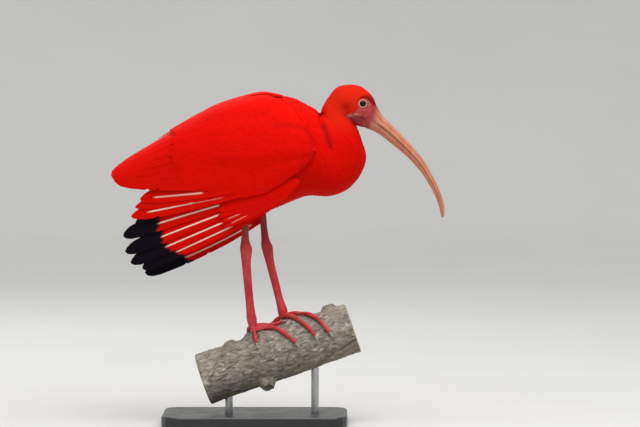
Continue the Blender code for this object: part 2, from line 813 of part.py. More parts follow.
def make_stand(group, base_finish, rod_finish):
    length, width, height = BASE_SIZE
    bpy.ops.mesh.primitive_cube_add(size=1, location=(0, 0, (BASE_UNDERSIDE + height / 2) * MM))
    base = bpy.context.object
    base.name = "stand_base"
    base.scale = (length * MM, width * MM, height * MM)
    move_to(base, group)
    bake_place(base)
    corner_weights = base.data.attributes.new("bevel_weight_edge", "FLOAT", "EDGE")
    for edge, weight in zip(base.data.edges, corner_weights.data):
        a, b = (base.data.vertices[i].co for i in edge.vertices)
        weight.value = 1.0 if abs(a.z - b.z) > height * MM / 2 else 0.0
    corners = base.modifiers.new("corners", "BEVEL")
    corners.limit_method = "WEIGHT"
    corners.width = BASE_CORNER * MM
    corners.segments = 4
    edge_round = base.modifiers.new("edges", "BEVEL")
    edge_round.limit_method = "ANGLE"
    edge_round.angle_limit = math.radians(60)
    edge_round.width = 1.8 * MM
    edge_round.segments = 1
    bpy.context.view_layer.update()
    graph = bpy.context.evaluated_depsgraph_get()
    base.data = bpy.data.meshes.new_from_object(base.evaluated_get(graph))
    base.modifiers.clear()
    foot = BASE_UNDERSIDE + height - ROD_SOCKET
    holes = [
        cylinder(f"hole_{k}", x, foot - GAP, foot + 2 * ROD_SOCKET, ROD_RADIUS + GAP, group)
        for k, x in enumerate(ROD_PLACES)
    ]
    boolean(base, holes, "DIFFERENCE")
    finished(base, base_finish, 30)
    for k, x in enumerate(ROD_PLACES):
        rod = cylinder(f"stand_rod_{k + 1}", x, foot, rod_top(x), ROD_RADIUS, group)
        finished(rod, rod_finish, 30)


# Legs: path of x, y, z and the half widths along and across the body.
LEGS = {
    "right": (
        (-12.4, -25.0, 297.0, 4.6, 3.9),
        (-12.2, -24.4, 280.0, 4.4, 3.7),
        (-12.2, -23.4, 266.0, 5.6, 4.6),
        (-11.2, -22.8, 257.0, 7.8, 5.8),
        (-11.0, -22.2, 249.0, 7.2, 5.4),
        (-11.0, -21.4, 238.0, 6.0, 4.4),
        (-9.2, -19.0, 215.0, 5.5, 4.0),
        (-6.8, -16.0, 188.0, 5.3, 3.9),
        (-5.0, -13.6, 171.5, 6.0, 4.8),
        (-4.2, -12.5, 165.0, 6.6, 5.4),
    ),
    "left": (
        (9.4, 25.0, 302.0, 4.6, 3.9),
        (11.2, 24.2, 282.0, 4.4, 3.7),
        (13.0, 23.0, 267.0, 5.4, 4.6),
        (15.0, 22.0, 257.5, 7.4, 5.8),
        (16.6, 21.0, 249.0, 6.9, 5.4),
        (18.8, 20.0, 238.0, 5.8, 4.4),
        (25.2, 16.0, 213.0, 5.4, 4.0),
        (31.2, 12.0, 190.0, 5.3, 3.9),
        (33.9, 10.4, 181.0, 6.0, 4.8),
        (35.6, 9.4, 174.4, 6.6, 5.4),
    ),
}
THIGHS = {
    "right": ((14.0, -26.0, 352.0, 30.0, 19.0), (6.0, -27.0, 328.0, 24.0, 16.0),
              (-4.0, -26.5, 312.0, 16.5, 12.0), (-12.4, -25.0, 297.3, 6.4, 5.6)),
    "left": ((26.0, 26.0, 352.0, 30.0, 19.0), (22.0, 27.0, 328.0, 23.0, 16.0),
             (16.0, 26.5, 314.0, 14.5, 12.0), (9.3, 25.0, 302.3, 6.4, 5.6)),
}


def limb_rings(path, count, sides):
    """Level, oval rings along a leg."""
    return [
        [
            np.array([x + along * math.cos(a), y + across * math.sin(a), z])
            for a in np.linspace(0, 2 * math.pi, sides, endpoint=False)
        ]
        for x, y, z, along, across in smooth(path, count)
    ]


def make_leg(name, path, group, finish):
    leg = facing_out(mesh_object(name, *loft(limb_rings(path, 19, 10)), group))
    return finished(leg, finish)


def make_thigh(name, path, group, finish):
    """The feathered thigh, cut clear of the belly that it grows from."""
    thigh = facing_out(mesh_object(name, *loft(limb_rings(path, 7, 18)), group))
    rows = [
        (r[0], r[1] + 0.5, r[2], r[3] - 0.5, r[4] + 0.5, r[5]) for r in BODY_ROWS
    ]
    rings = body_length(rows, 0, NECK_START, 16, 28)
    belly = facing_out(mesh_object("belly_cutter", *loft(rings), group))
    boolean(thigh, [belly], "DIFFERENCE")
    return finished(thigh, finish)


# Feet: the middle of the foot, then each toe's places after it: along the branch, angle in
# degrees and height over the bark.
FEET = {
    "right": {
        "hub": (-21.5, 14.0, 13.6),
        "outer": ((-22.0, 25.0, 9.5), (-22.6, 37.0, 3.8), (-23.4, 50.0, 3.1)),
        "middle": ((-8.5, 17.0, 6.5), (6.0, 30.0, 3.6), (17.5, 57.0, 3.1), (24.0, 77.0, 3.1)),
        "inner": ((-9.0, 9.0, 8.0), (4.0, 7.0, 3.6), (15.5, 6.0, 3.1)),
        "hallux": ((-28.0, 0.0, 9.0), (-32.0, -18.0, 3.8), (-34.0, -34.0, 3.1)),
    },
    "left": {
        "hub": (19.0, -12.0, 9.6),
        "outer": ((30.0, -20.0, 7.0), (42.0, -27.0, 3.6), (56.0, -34.0, 3.1)),
        "middle": ((31.0, -3.0, 8.6), (45.0, 4.0, 4.6), (60.0, 38.0, 3.2), (70.0, 78.0, 3.1)),
        "inner": ((28.0, 4.0, 6.6), (40.0, 36.0, 3.8), (48.0, 60.0, 3.1), (51.0, 76.0, 3.1)),
        "hallux": ((10.0, -15.0, 8.6), (-1.0, -15.0, 4.4), (-9.0, -13.0, 3.1)),
    },
}
TOE_POINTS = 9


def on_bark(spot):
    along, degrees, height = spot
    return bark(along, math.radians(degrees), height)


def toe_path(foot, toe):
    """A toe's middle line, laid over the bark."""
    stops = [FEET[foot]["hub"], *FEET[foot][toe]]
    return np.array([on_bark(spot) for spot in smooth(stops, TOE_POINTS)])


def toe_radii():
    """Swollen at the knuckles and narrower towards the claw."""
    shares = np.linspace(0, 1, TOE_POINTS)
    return TOE_RADIUS * (1.12 - 0.28 * shares + 0.09 * np.cos(shares * 6 * math.pi))


def web(foot, group):
    """The small web between the outer and the middle toe."""
    outer, middle = toe_path(foot, "outer"), toe_path(foot, "middle")
    rows = []
    for k in range(4):
        a, b = outer[k], middle[k]
        sag = (a + b) / 2 * 0.88 + outer[max(k - 1, 0)] * 0.06 + middle[max(k - 1, 0)] * 0.06
        rows.append([a, sag, b])
    up = np.array([0, -0.35, 0.9])
    rings = []
    for row in rows:
        rings.append([p + up * 0.8 for p in row] + [p - up * 0.8 for p in row[::-1]])
    return facing_out(mesh_object("web", *loft(rings), group))


def make_foot(foot, group, finish, claw_finish):
    x, y, z = on_bark(FEET[foot]["hub"])
    top = LEGS[foot][-1]
    ankle = [
        (x, y, z - 4.5, 4.2, 3.8),
        (x, y, z - 1.0, 5.8, 5.2),
        (top[0], top[1], top[2] - GAP, top[3], top[4]),
    ]
    body = facing_out(mesh_object(f"foot_{foot}", *loft(limb_rings(ankle, 5, 10)), group))
    toes = [
        tube(f"toe_{toe}", toe_path(foot, toe), toe_radii(), group, 1)
        for toe in ("outer", "middle", "inner", "hallux")
    ]
    boolean(body, toes + [web(foot, group)], "UNION")
    finished(body, finish)
    for toe in ("outer", "middle", "inner", "hallux"):
        path = toe_path(foot, toe)
        ahead = path[-1] - path[-2]
        ahead /= np.linalg.norm(ahead)
        along, degrees, height = FEET[foot][toe][-1]
        down = on_bark((along, degrees, 0)) - on_bark((along, degrees, 1))
        points = [
            path[-1] + ahead * (GAP + CLAW_LENGTH * u) + down * 1.3 * u * u for u in (0, 0.3, 0.65, 1.0)
        ]
        claw = tube(f"claw_{foot}_{toe}", points, (1.9, 1.7, 1.1, 0.4), group, 1)
        finished(claw, claw_finish)


def clear_scene():
    for obj in list(bpy.data.objects):
        bpy.data.objects.remove(obj)


def main():
    clear_scene()
    group = new_collection("scarlet_ibis")
    red = material("scarlet_feathers", SCARLET, 0.7)
    face = material("head_feathers", SCARLET, 0.7)
    bill = material("bill_horn", BILL_PINK, 0.45)
    skin = material("leg_skin", LEG_PINK, 0.5)
    eye = material("eye", EYE_BROWN, 0.08)
    claw = material("claw_horn", CLAW_GREY, 0.4)
    wood = material("bark", BARK, 0.9)
    black = material("stand_base", STAND_BLACK, 0.4)
    steel = material("stand_rod", ROD_STEEL, 0.3, 1.0)
    make_torso(group, red)
    make_neck(group, red)
    make_head(group, face)
    make_eyes(group, eye)
    make_bill(group, bill)
    make_tail(group, red)
    for word, side, drop in (("right", -1, 0.0), ("left", 1, 9.0)):
        make_wing(f"wing_{word}", side, group, red)
        make_hand(f"primaries_{word}", side, group, red, drop)
        make_thigh(f"thigh_{word}", THIGHS[word], group, red)
        make_leg(f"leg_{word}", LEGS[word], group, skin)
        make_foot(word, group, skin, claw)
    make_perch(group, wood)
    make_stand(group, black, steel)
    for obj in group.objects:
        obj.location.z -= BASE_UNDERSIDE * MM


main()
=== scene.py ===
# %% [markdown]
# # A scarlet ibis on a cut branch, life size
# This notebook dresses the plain solids of a scarlet ibis: a wading bird as red as a
# poppy, with black wing tips, coral legs and a long bent bill. The solids say where everything
# is. Here each of them gets the surface that a visitor to a museum would look at: small soft
# feathers, long flight feathers with pale shafts, wrinkled skin round the eye, scaly legs and
# rough bark.
# Everything is made from a few named sizes and short tables, because those are easy to read
# and to change.

# %% The frame
import math

import bmesh
import bpy
import numpy as np
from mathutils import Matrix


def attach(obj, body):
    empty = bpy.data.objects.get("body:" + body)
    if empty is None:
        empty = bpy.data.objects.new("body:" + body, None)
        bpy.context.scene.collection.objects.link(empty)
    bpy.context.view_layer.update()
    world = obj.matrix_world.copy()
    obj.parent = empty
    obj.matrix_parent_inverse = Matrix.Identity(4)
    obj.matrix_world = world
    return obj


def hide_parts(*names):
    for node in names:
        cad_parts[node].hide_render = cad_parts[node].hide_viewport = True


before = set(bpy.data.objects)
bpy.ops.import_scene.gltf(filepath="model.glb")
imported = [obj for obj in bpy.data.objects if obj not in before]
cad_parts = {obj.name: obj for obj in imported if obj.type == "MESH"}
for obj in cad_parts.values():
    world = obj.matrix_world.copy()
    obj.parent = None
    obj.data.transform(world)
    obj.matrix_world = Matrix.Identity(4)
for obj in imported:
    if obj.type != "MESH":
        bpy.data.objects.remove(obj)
bpy.context.view_layer.update()
MM = 0.001
STAND_SHIFT = 28.0

# %% [markdown]
# ## Smooth forms from short tables
# A bird's body has no straight line in it, yet nobody wants to type thousands of points. The
# trick is an old one from boat building: give a few sections, and let a smooth curve run
# through them. A Catmull-Rom curve passes through every row of a table, so each number in the
# table is a size that can be measured on the bird.
# Heights in the tables count from a level 28 mm under the stand, as in the solids' own source.

# %% Rows and steps
def rows_at(rows, t):
    """The table's values at t, counted in rows, on a smooth curve through all rows."""
    rows, t = np.asarray(rows, float), np.asarray(t, float)
    last = len(rows) - 1
    i = np.clip(np.floor(t).astype(int), 0, last - 1)
    u = (t - i)[..., None]
    a, b, c, d = (rows[np.clip(i + k, 0, last)] for k in (-1, 0, 1, 2))
    return 0.5 * (2 * b + (c - a) * u + (2 * a - 5 * b + 4 * c - d) * u**2
                  + (3 * b - a - 3 * c + d) * u**3)


def evenly(rows, count):
    return rows_at(rows, np.linspace(0, len(rows) - 1, count))


def ease(x, low, high):
    """0 below low, 1 above high, and a soft step between."""
    u = np.clip((np.asarray(x, float) - low) / (high - low), 0, 1)
    return u * u * (3 - 2 * u)


def full_turn(count):
    """Angles spread evenly over a whole turn."""
    return np.linspace(0, 2 * math.pi, count, endpoint=False)


def unit(v):
    return v / (np.linalg.norm(v, axis=-1, keepdims=True) + 1e-12)


def waves(points, size, seed, octaves=3):
    """Soft, repeatable unevenness between about -1 and 1, at points in millimetres."""
    draw = np.random.default_rng(seed)
    total, weight = np.zeros(points.shape[:-1]), 0.0
    for k in range(octaves):
        for _ in range(5):
            turn = unit(draw.normal(size=3)) * 2 * math.pi / (size / 1.9**k)
            total += np.sin(points @ turn + draw.uniform(0, 6.3)) * 0.6**k
        weight += 5 * 0.6**k
    return total / weight * 2.2


# %% [markdown]
# ## A surface that can be read anywhere
# Feathers have to lie on the body, wherever it curves. So each form is first kept as a grid of
# points, and a small class reads the place, the outward direction and the two running
# directions at any spot between the grid's points. A step over the surface, in millimetres,
# is turned into a step over the grid with these two directions.

# %% The Surface class
class Surface:
    """A form known by a grid of points. It is read by two running numbers, in grid steps."""

    def __init__(self, grid, closed=False, flip=False):
        grid = np.asarray(grid, float)
        along = np.gradient(grid, axis=0)
        if closed:
            wide = np.concatenate([grid[:, -2:], grid, grid[:, :2]], axis=1)
            across = np.gradient(wide, axis=1)[:, 2:-2]
        else:
            across = np.gradient(grid, axis=1)
        normal = unit(np.cross(along, across)) * (-1 if flip else 1)
        self.grid, self.normal, self.closed = grid, normal, closed
        self.data = np.concatenate([grid, normal, along, across], axis=2)

    def read(self, u, v):
        rows, columns = self.grid.shape[:2]
        u = np.clip(u, 0, rows - 1.001)
        i = np.floor(u).astype(int)
        if self.closed:
            v = np.mod(v, columns)
            j = np.minimum(np.floor(v).astype(int), columns - 1)
            nxt = (j + 1) % columns
        else:
            v = np.clip(v, 0, columns - 1.001)
            j = np.floor(v).astype(int)
            nxt = j + 1
        fu, fv = (u - i)[..., None], (v - j)[..., None]
        d = self.data
        out = ((d[i, j] * (1 - fv) + d[i, nxt] * fv) * (1 - fu)
               + (d[i + 1, j] * (1 - fv) + d[i + 1, nxt] * fv) * fu)
        return out[..., 0:3], unit(out[..., 3:6]), out[..., 6:9], out[..., 9:12]

    def walk(self, u, v, move):
        """Where a step of millimetres over the surface leads, in grid steps."""
        _, _, pu, pv = self.read(u, v)
        a, b, c = (pu * pu).sum(-1), (pu * pv).sum(-1), (pv * pv).sum(-1)
        e, f = (pu * move).sum(-1), (pv * move).sum(-1)
        size = np.maximum(a * c - b * b, 1e-6)
        return u + np.clip((c * e - b * f) / size, -40, 40), v + np.clip((a * f - b * e) / size, -40, 40)


# %% [markdown]
# ## From points to a mesh
# Blender can take a whole array of points at once, which is far quicker than adding them one
# by one. Every mesh in this notebook is made by the same short function, in millimetres, and
# comes out in metres, at the right height over the stand.

# %% Mesh helpers
def mesh_piece(name, points, quads=None, tris=None, finish=None, smooth=True):
    """A mesh object from points in millimetres and arrays of four- and three-sided faces."""
    mesh = bpy.data.meshes.new(name)
    points = (np.asarray(points, float).reshape(-1, 3) - (0, 0, STAND_SHIFT)) * MM
    mesh.vertices.add(len(points))
    mesh.vertices.foreach_set("co", points.astype(np.float32).ravel())
    corners, starts, at = [], [], 0
    for faces, sides in ((quads, 4), (tris, 3)):
        if faces is not None and len(faces):
            corners.append(np.asarray(faces, np.int32).ravel())
            starts.append(at + sides * np.arange(len(faces), dtype=np.int32))
            at += sides * len(faces)
    mesh.loops.add(at)
    mesh.loops.foreach_set("vertex_index", np.concatenate(corners))
    mesh.polygons.add(sum(len(s) for s in starts))
    mesh.polygons.foreach_set("loop_start", np.concatenate(starts))
    mesh.update(calc_edges=True)
    made = bpy.data.objects.new(name, mesh)
    bpy.context.scene.collection.objects.link(made)
    if finish:
        mesh.materials.append(finish)
    if smooth:
        mesh.shade_smooth()
    return made


def closed_faces(rings, sides):
    """Faces of a closed tube of rings, with a middle point at each end. The two middle points
    come after the rings."""
    i, j = np.meshgrid(np.arange(rings - 1), np.arange(sides), indexing="ij")
    a, b = i * sides + j, i * sides + (j + 1) % sides
    quads = np.stack([a, b, b + sides, a + sides], axis=-1).reshape(-1, 4)
    j = np.arange(sides)
    k = (j + 1) % sides
    first, last = rings * sides, rings * sides + 1
    far = (rings - 1) * sides
    tris = np.concatenate([
        np.stack([k, j, np.full(sides, first)], axis=-1),
        np.stack([far + j, far + k, np.full(sides, last)], axis=-1),
    ])
    return quads, tris


def tube_piece(name, rings, finish=None):
    """A closed body through rings of points, given as an array of rings, sides, 3."""
    rings = np.asarray(rings, float)
    quads, tris = closed_faces(*rings.shape[:2])
    ends = np.array([rings[0].mean(0), rings[-1].mean(0)])
    made = mesh_piece(name, np.concatenate([rings.reshape(-1, 3), ends]), quads, tris, finish)
    facing_out(made)
    return made


def facing_out(obj):
    shape = bmesh.new()
    shape.from_mesh(obj.data)
    bmesh.ops.recalc_face_normals(shape, faces=shape.faces)
    shape.to_mesh(obj.data)
    shape.free()


def points_of(obj):
    """The mesh's points in millimetres, at the tables' heights."""
    flat = np.zeros(len(obj.data.vertices) * 3, np.float32)
    obj.data.vertices.foreach_get("co", flat)
    return flat.reshape(-1, 3).astype(float) / MM + (0, 0, STAND_SHIFT)


def put_points(obj, points):
    flat = ((points - (0, 0, STAND_SHIFT)) * MM).astype(np.float32)
    obj.data.vertices.foreach_set("co", flat.ravel())
    obj.data.update()


def normals_of(obj):
    flat = np.zeros(len(obj.data.vertices) * 3, np.float32)
    obj.data.vertices.foreach_get("normal", flat)
    return flat.reshape(-1, 3).astype(float)


def with_modifier(obj, kind, **settings):
    """Applies one modifier and keeps the changed mesh."""
    modifier = obj.modifiers.new(kind.lower(), kind)
    for key, value in settings.items():
        setattr(modifier, key, value)
    bpy.context.view_layer.update()
    graph = bpy.context.evaluated_depsgraph_get()
    changed = bpy.data.meshes.new_from_object(obj.evaluated_get(graph))
    obj.modifiers.clear()
    obj.data = changed
    changed.shade_smooth()
    return obj


def joined(obj, others, solver="MANIFOLD", operation="UNION"):
    """Fuses closed bodies into one, or cuts them away, and removes the others."""
    group = bpy.data.collections.new(obj.name + "_others")
    for other in others:
        group.objects.link(other)
    with_modifier(obj, "BOOLEAN", operation=operation, operand_type="COLLECTION",
                  collection=group, solver=solver)
    for other in others:
        bpy.data.objects.remove(other)
    bpy.data.collections.remove(group)
    return obj


def triangles(obj):
    return sum(len(p.vertices) - 2 for p in obj.data.polygons)


def point_value(obj, name, values):
    """Stores one number for each point, for the materials to read."""
    layer = obj.data.attributes.new(name, "FLOAT", "POINT")
    layer.data.foreach_set("value", np.asarray(values, np.float32))


def corner_map(obj, name, values):
    """Stores a flat map from a pair of numbers for each point."""
    layer = obj.data.uv_layers.new(name=name)
    index = np.zeros(len(obj.data.loops), np.int32)
    obj.data.loops.foreach_get("vertex_index", index)
    layer.data.foreach_set("uv", np.asarray(values, np.float32)[index].ravel())


# %% [markdown]
# ## The body's tables
# The rows below run from the rump along the torso, up the neck and over the head to the bill.
# A row holds the back's x and height, the belly's x and height, the half width, and where
# between back and belly the body is widest. They are the same numbers as in the solids, so
# the dressed bird keeps its size.

# %% The body's rows
WING_FORM = (
    (-200.0, 345.0, 331.0, 14.0), (-185.9, 354.9, 339.3, 17.0), (-162.5, 373.1, 349.7, 23.0),
    (-141.7, 386.1, 360.1, 28.0), (-114.4, 403.0, 370.5, 35.0), (-84.5, 419.9, 378.3, 43.0),
    (-52.0, 438.1, 382.2, 49.0), (-19.5, 449.2, 383.5, 53.0), (13.0, 456.0, 383.5, 55.0),
    (45.5, 453.7, 383.5, 53.0), (68.9, 443.3, 381.0, 49.0), (80.6, 431.6, 378.0, 46.0),
    (92.0, 415.0, 375.0, 42.0),
)
RUMP = ((-117.5, 390.5, -103.7, 359.5, 18.0), (-103.0, 402.0, -93.0, 342.0, 31.0))
TORSO_INSET = 1.3
BELLY = ((-80.0, 331.5), (-52.0, 315.0), (-19.5, 306.0), (13.0, 304.0), (45.5, 316.0), (68.9, 324.0))
BREAST = ((78.6, 436.6, 97.5, 323.7, 45.0, 0.50), (83.4, 431.4, 120.9, 332.8, 38.0, 0.52))
NECK = (
    (84.6, 431.6, 137.8, 352.3, 31.5, 0.52), (85.4, 432.6, 144.6, 374.4, 26.5, 0.52),
    (86.0, 434.8, 139.3, 395.2, 22.5, 0.50), (88.0, 441.0, 133.9, 411.0, 19.0, 0.50),
)
HEAD = (
    (95.5, 452.4, 130.7, 415.6, 17.2, 0.50), (106.6, 465.0, 131.3, 414.9, 17.4, 0.50),
    (120.9, 468.5, 133.2, 414.3, 17.4, 0.50), (135.2, 467.0, 135.8, 413.7, 16.4, 0.50),
    (146.0, 460.2, 138.5, 413.1, 14.2, 0.52), (153.7, 451.4, 141.1, 412.6, 11.8, 0.55),
    (158.0, 441.0, 143.7, 412.1, 9.8, 0.56),
)
FORM = evenly(WING_FORM, 160)


def form_at(x):
    """Ridge height, height of the widest place and half width of the folded bird at x."""
    return tuple(np.interp(x, FORM[:, 0], FORM[:, k]) for k in (1, 2, 3))


def belly_row(x, low):
    ridge, middle, width = form_at(x)
    top = ridge - TORSO_INSET
    return (x, top, x, low, width - TORSO_INSET, (top - middle) / (top - low))


BODY_ROWS = np.array([(*row, 0.5) for row in RUMP] + [belly_row(x, low) for x, low in BELLY]
                     + list(BREAST) + list(NECK) + list(HEAD))
NECK_START = len(RUMP) + len(BELLY) + len(BREAST) - 1
HEAD_START = NECK_START + len(NECK) + 1
BODY_END = len(BODY_ROWS) - 1


def body_point(t, angle):
    """Points of the body, t rows along and at an angle from the back. Angles up to half a
    turn are on the bird's left."""
    row = rows_at(BODY_ROWS, t)
    c, s = np.cos(angle), np.sin(angle)
    share = np.where(c > 0, row[..., 5] * (1 - c), row[..., 5] - (1 - row[..., 5]) * c)
    x = row[..., 0] + (row[..., 2] - row[..., 0]) * share
    z = row[..., 1] + (row[..., 3] - row[..., 1]) * share
    return np.stack([x, row[..., 4] * s, z], axis=-1)


ROW_STEPS, TURN_STEPS = 18, 192
body_t, body_angle = np.meshgrid(
    np.linspace(0, BODY_END, BODY_END * ROW_STEPS + 1),
    full_turn(TURN_STEPS), indexing="ij")
body_form = Surface(body_point(body_t, body_angle), closed=True)
if (body_form.normal[60, 0] @ np.array([0, 0, 1])) < 0:
    body_form = Surface(body_form.grid, closed=True, flip=True)
print("body grid:", body_form.grid.shape[:2], "outward at the back:", body_form.normal[90, 0].round(2))

# %% [markdown]
# ## Where the markings are
# Skin and feathers have to agree on where the bare face ends and where patches are darker, some by their own colour and
# some by painted shade in folds and hollows.
# So the markings are worked out once, from places on the bird, and every piece asks the same
# functions. The outline of the bare face is a polygon seen from the side, and a signed
# distance tells how far inside or outside it a point is.

# %% Markings on the head
EYE_PLACE = np.array([139.5, 443.7])
EYE_RADIUS, EYE_DEPTH = 5.4, 3.9
BARE_FACE = np.array([
    (137.4, 449.8), (141.0, 450.6), (145.6, 450.0), (149.6, 446.4), (153.0, 442.6), (157.0, 439.4),
    (168.0, 438.0), (160.0, 400.0), (141.0, 405.0), (135.5, 414.0), (127.0, 421.0), (117.6, 427.6),
    (121.5, 431.2), (129.6, 432.4), (133.2, 436.6), (132.9, 443.3), (134.6, 447.8),
])
MOUTH_CORNER = np.array([(153.5, 423.5), (146.0, 424.2), (137.0, 425.6), (128.0, 427.6), (119.0, 430.6)])


def to_line(spots, line):
    """Distance of flat spots to a line of points."""
    best = np.full(spots.shape[:-1], 1e9)
    for a, b in zip(line[:-1], line[1:]):
        run = b - a
        share = np.clip(((spots - a) @ run) / (run @ run), 0, 1)
        best = np.minimum(best, np.linalg.norm(spots - (a + share[..., None] * run), axis=-1))
    return best


def inside(spots, polygon):
    """Distance to the polygon's edge, above zero inside it."""
    away = to_line(spots, np.concatenate([polygon, polygon[:1]]))
    x, z = spots[..., 0], spots[..., 1]
    odd = np.zeros(spots.shape[:-1], bool)
    for (xa, za), (xb, zb) in zip(polygon, np.roll(polygon, -1, axis=0)):
        crosses = (za > z) != (zb > z)
        odd ^= crosses & (x < (xb - xa) * (z - za) / (zb - za + 1e-12) + xa)
    return np.where(odd, away, -away)


def bare_face(points):
    """How far inside the bare face, in millimetres. Below zero is feathered."""
    flat = points[..., [0, 2]]
    depth = inside(flat, BARE_FACE)
    crown = 3.2 - np.abs(points[..., 1])
    return np.where(points[..., 2] > 436, np.minimum(depth, -crown), depth)


# A fold in the feathers: its depth, its half width, how much painted shade darkens it, and its line.
CREASES = (
    (0.4, 6.0, 0.08, ((84.5, 435.0), (87.0, 424.0), (90.0, 414.0))),
    (0.6, 6.0, 0.50, ((90.0, 414.0), (94.5, 401.0), (98.5, 389.0))),
    (0.7, 5.0, 0.16, ((50.0, 449.0), (56.0, 443.5), (61.0, 438.0))),
    (0.7, 6.5, 0.24, ((30.0, 417.0), (42.0, 416.5), (55.0, 415.0), (65.5, 410.5), (72.0, 401.0), (75.0, 388.0))),
    (0.5, 8.0, 0.10, ((-61.0, 425.0), (-34.0, 428.0), (-10.0, 430.0), (16.0, 431.0))),
)


def creases(points, shade=False):
    """Depth of the folds in the coat, in millimetres, or the painted shade that darkens them."""
    flat, total = points[..., [0, 2]], np.zeros(points.shape[:-1])
    for deep, half, dark, line in CREASES:
        off = to_line(flat, np.array(line))
        total += (dark if shade else deep) * np.exp(-(off / (half * (0.55 if shade else 1.0))) ** 2)
    return total * ease(np.abs(points[..., 1]), 3.0, 12.0)


def markings(points):
    """Shares of orange light red and of a dark red at points on the bird. The dark share holds the bird's own dark
    marks and painted shade: in the folds, in the hollow over the ear and along the feathers' edge over the eye.
    """
    x, z = points[..., 0], points[..., 2]
    head = ease(z, 396, 436) * ease(x, 84, 96)
    # Painted shade in the hollow over the ear.
    ear = np.exp(-(((x - 118.0) / 6.0) ** 2 + ((z - 440.0) / 5.5) ** 2))
    edge = -bare_face(points)
    flecks = 0.72 + 0.55 * waves(points, 2.4, 21)
    # Painted shade along the feathers' edge over the bare face above the eye.
    forehead = np.exp(-((edge - 1.6) / (1.8 + 3.0 * ease(x, 138, 150))) ** 2) * ease(x, 128, 146) * ease(z, 438, 446) * flecks
    rim = 0.40 * np.exp(-(edge / 2.2) ** 2) * ease(z, 412, 424) * flecks
    throat = 0.30 * np.clip(waves(points, 4.2, 22) - 0.35, 0, 1) * ease(x, 108, 128) * ease(z, 360, 385)
    maroon = 0.46 * ear + 1.15 * forehead + rim * (edge > -1) + throat
    # The folds' painted shade joins the dark share.
    return head, np.clip(maroon * ease(x, 90, 104) + creases(points, True), 0, 1)


# %% [markdown]
# ## The skin
# One skin covers the torso, the neck, the head, the thighs and the arms of the wings, so no
# seam shows where they meet. It lies under the feathers by their depth, and comes to the
# surface only on the bare face. The wings' arms and the thighs are closed bodies of their own
# that are fused with the torso by one Boolean. The wrinkles round the eye and the mouth are
# real folds in the fine grid, a few tenths of a millimetre deep.

# %% The coat's depth
def coat_depth(points):
    """How deep the feathers' roots lie under the bird's outside."""
    x, z = points[..., 0], points[..., 2]
    head = ease(z, 405, 436) * ease(x, 84, 95)
    depth = 1.7 - 0.9 * head
    return depth * (1 - ease(bare_face(points) + 0.9, 0.0, 1.2) * head)


def eye_middle(side):
    grid = body_form.grid
    off = np.linalg.norm(grid[..., [0, 2]] - EYE_PLACE, axis=-1) + 1e3 * (grid[..., 1] * side < 3)
    i, j = np.unravel_index(off.argmin(), off.shape)
    out = unit(0.55 * np.array([0.0, side, 0.0]) + 0.45 * body_form.normal[i, j])
    return np.array([EYE_PLACE[0], side * (abs(grid[i, j, 1]) - EYE_DEPTH), EYE_PLACE[1]]), out


EYES = {side: eye_middle(side) for side in (-1, 1)}
print("eye middles:", {s: EYES[s][0].round(2) for s in EYES})

# %% Folds of the face
def face_folds(points, bare):
    """Height of the folds on the bare face, in millimetres."""
    flat = points[..., [0, 2]]
    ring = np.linalg.norm(flat - EYE_PLACE, axis=-1)
    turn = np.arctan2(flat[..., 1] - EYE_PLACE[1], flat[..., 0] - EYE_PLACE[0])
    around = np.sin(ring * 2 * math.pi / 1.55 + 0.7 * np.sin(3 * turn)) * np.exp(-np.abs(ring - 7.2) / 3.0)
    lores = np.sin((flat[..., 0] * 0.5 + flat[..., 1] * 0.95) * 2 * math.pi / 1.9
                   + 2.0 * waves(points, 9.0, 31))
    mouth = to_line(flat, MOUTH_CORNER)
    fold = to_line(flat, MOUTH_CORNER[2:] + (0.4, 2.0))
    height = 0.16 * around + 0.13 * lores * ease(ring, 7, 10) + 0.16 * waves(points, 2.6, 32)
    height += -0.65 * np.exp(-(mouth / 0.8) ** 2) + 0.22 * np.exp(-(fold / 1.3) ** 2)
    soft = ease(points[..., 0], 112, 120) * (1 - ease(points[..., 0], 151, 156))
    return height * ease(bare, -0.3, 0.8) * soft, ring


skin_points = body_form.grid.copy()
skin_bare = bare_face(skin_points)
skin_depth = coat_depth(skin_points)
folds, ring = face_folds(skin_points, skin_bare)
socket = 3.2 * (1 - ease(ring, 5.3, 7.0)) * (np.abs(skin_points[..., 1]) > 4) * ease(skin_points[..., 2], 432, 436)
skin_points = skin_points + body_form.normal * (folds - 0.5 * skin_depth - creases(skin_points) - socket)[..., None]
skin_points += body_form.normal * (0.5 * waves(skin_points, 38, 5) * (skin_points[..., 2] < 410))[..., None]
skin = tube_piece("skin", skin_points)
print("skin before the limbs:", triangles(skin), "triangles")

# %% [markdown]
# ## The wing's own ground
# The folded wing is a shallow form over the bird's side. Places on it are given by x and by the
# distance down from the ridge of the back, as a tailor would measure them. The grid is read a
# millimetre apart, so grid steps and millimetres are the same thing.

# %% The wing's ground
SKIRT_LEAN, SKIRT_EASE = 0.07, 25.0
WING_X0, WING_DOWN = -200.0, 262.0


def form_section(x, down):
    """y and z on the folded bird at x, that far down the section from the ridge."""
    ridge, middle, width = form_at(x)
    angles = np.linspace(0, math.pi / 2, 65)
    ys, zs = width * np.sin(angles), middle + (ridge - middle) * np.cos(angles)
    lengths = np.concatenate([[0], np.cumsum(np.hypot(np.diff(ys), np.diff(zs)))])
    depth = np.maximum(down - lengths[-1], 0)
    lean = SKIRT_LEAN * (np.hypot(depth, SKIRT_EASE) - SKIRT_EASE)
    return (np.where(down <= lengths[-1], np.interp(down, lengths, ys), width - lean),
            np.where(down <= lengths[-1], np.interp(down, lengths, zs), middle - depth))


def wing_grid(side):
    downs = np.arange(0.0, WING_DOWN, 1.0)
    grid = []
    for x in np.arange(WING_X0, 92.5, 1.0):
        y, z = form_section(x, downs)
        grid.append(np.stack([np.full(len(downs), x), side * y, z], axis=-1))
    return np.array(grid)


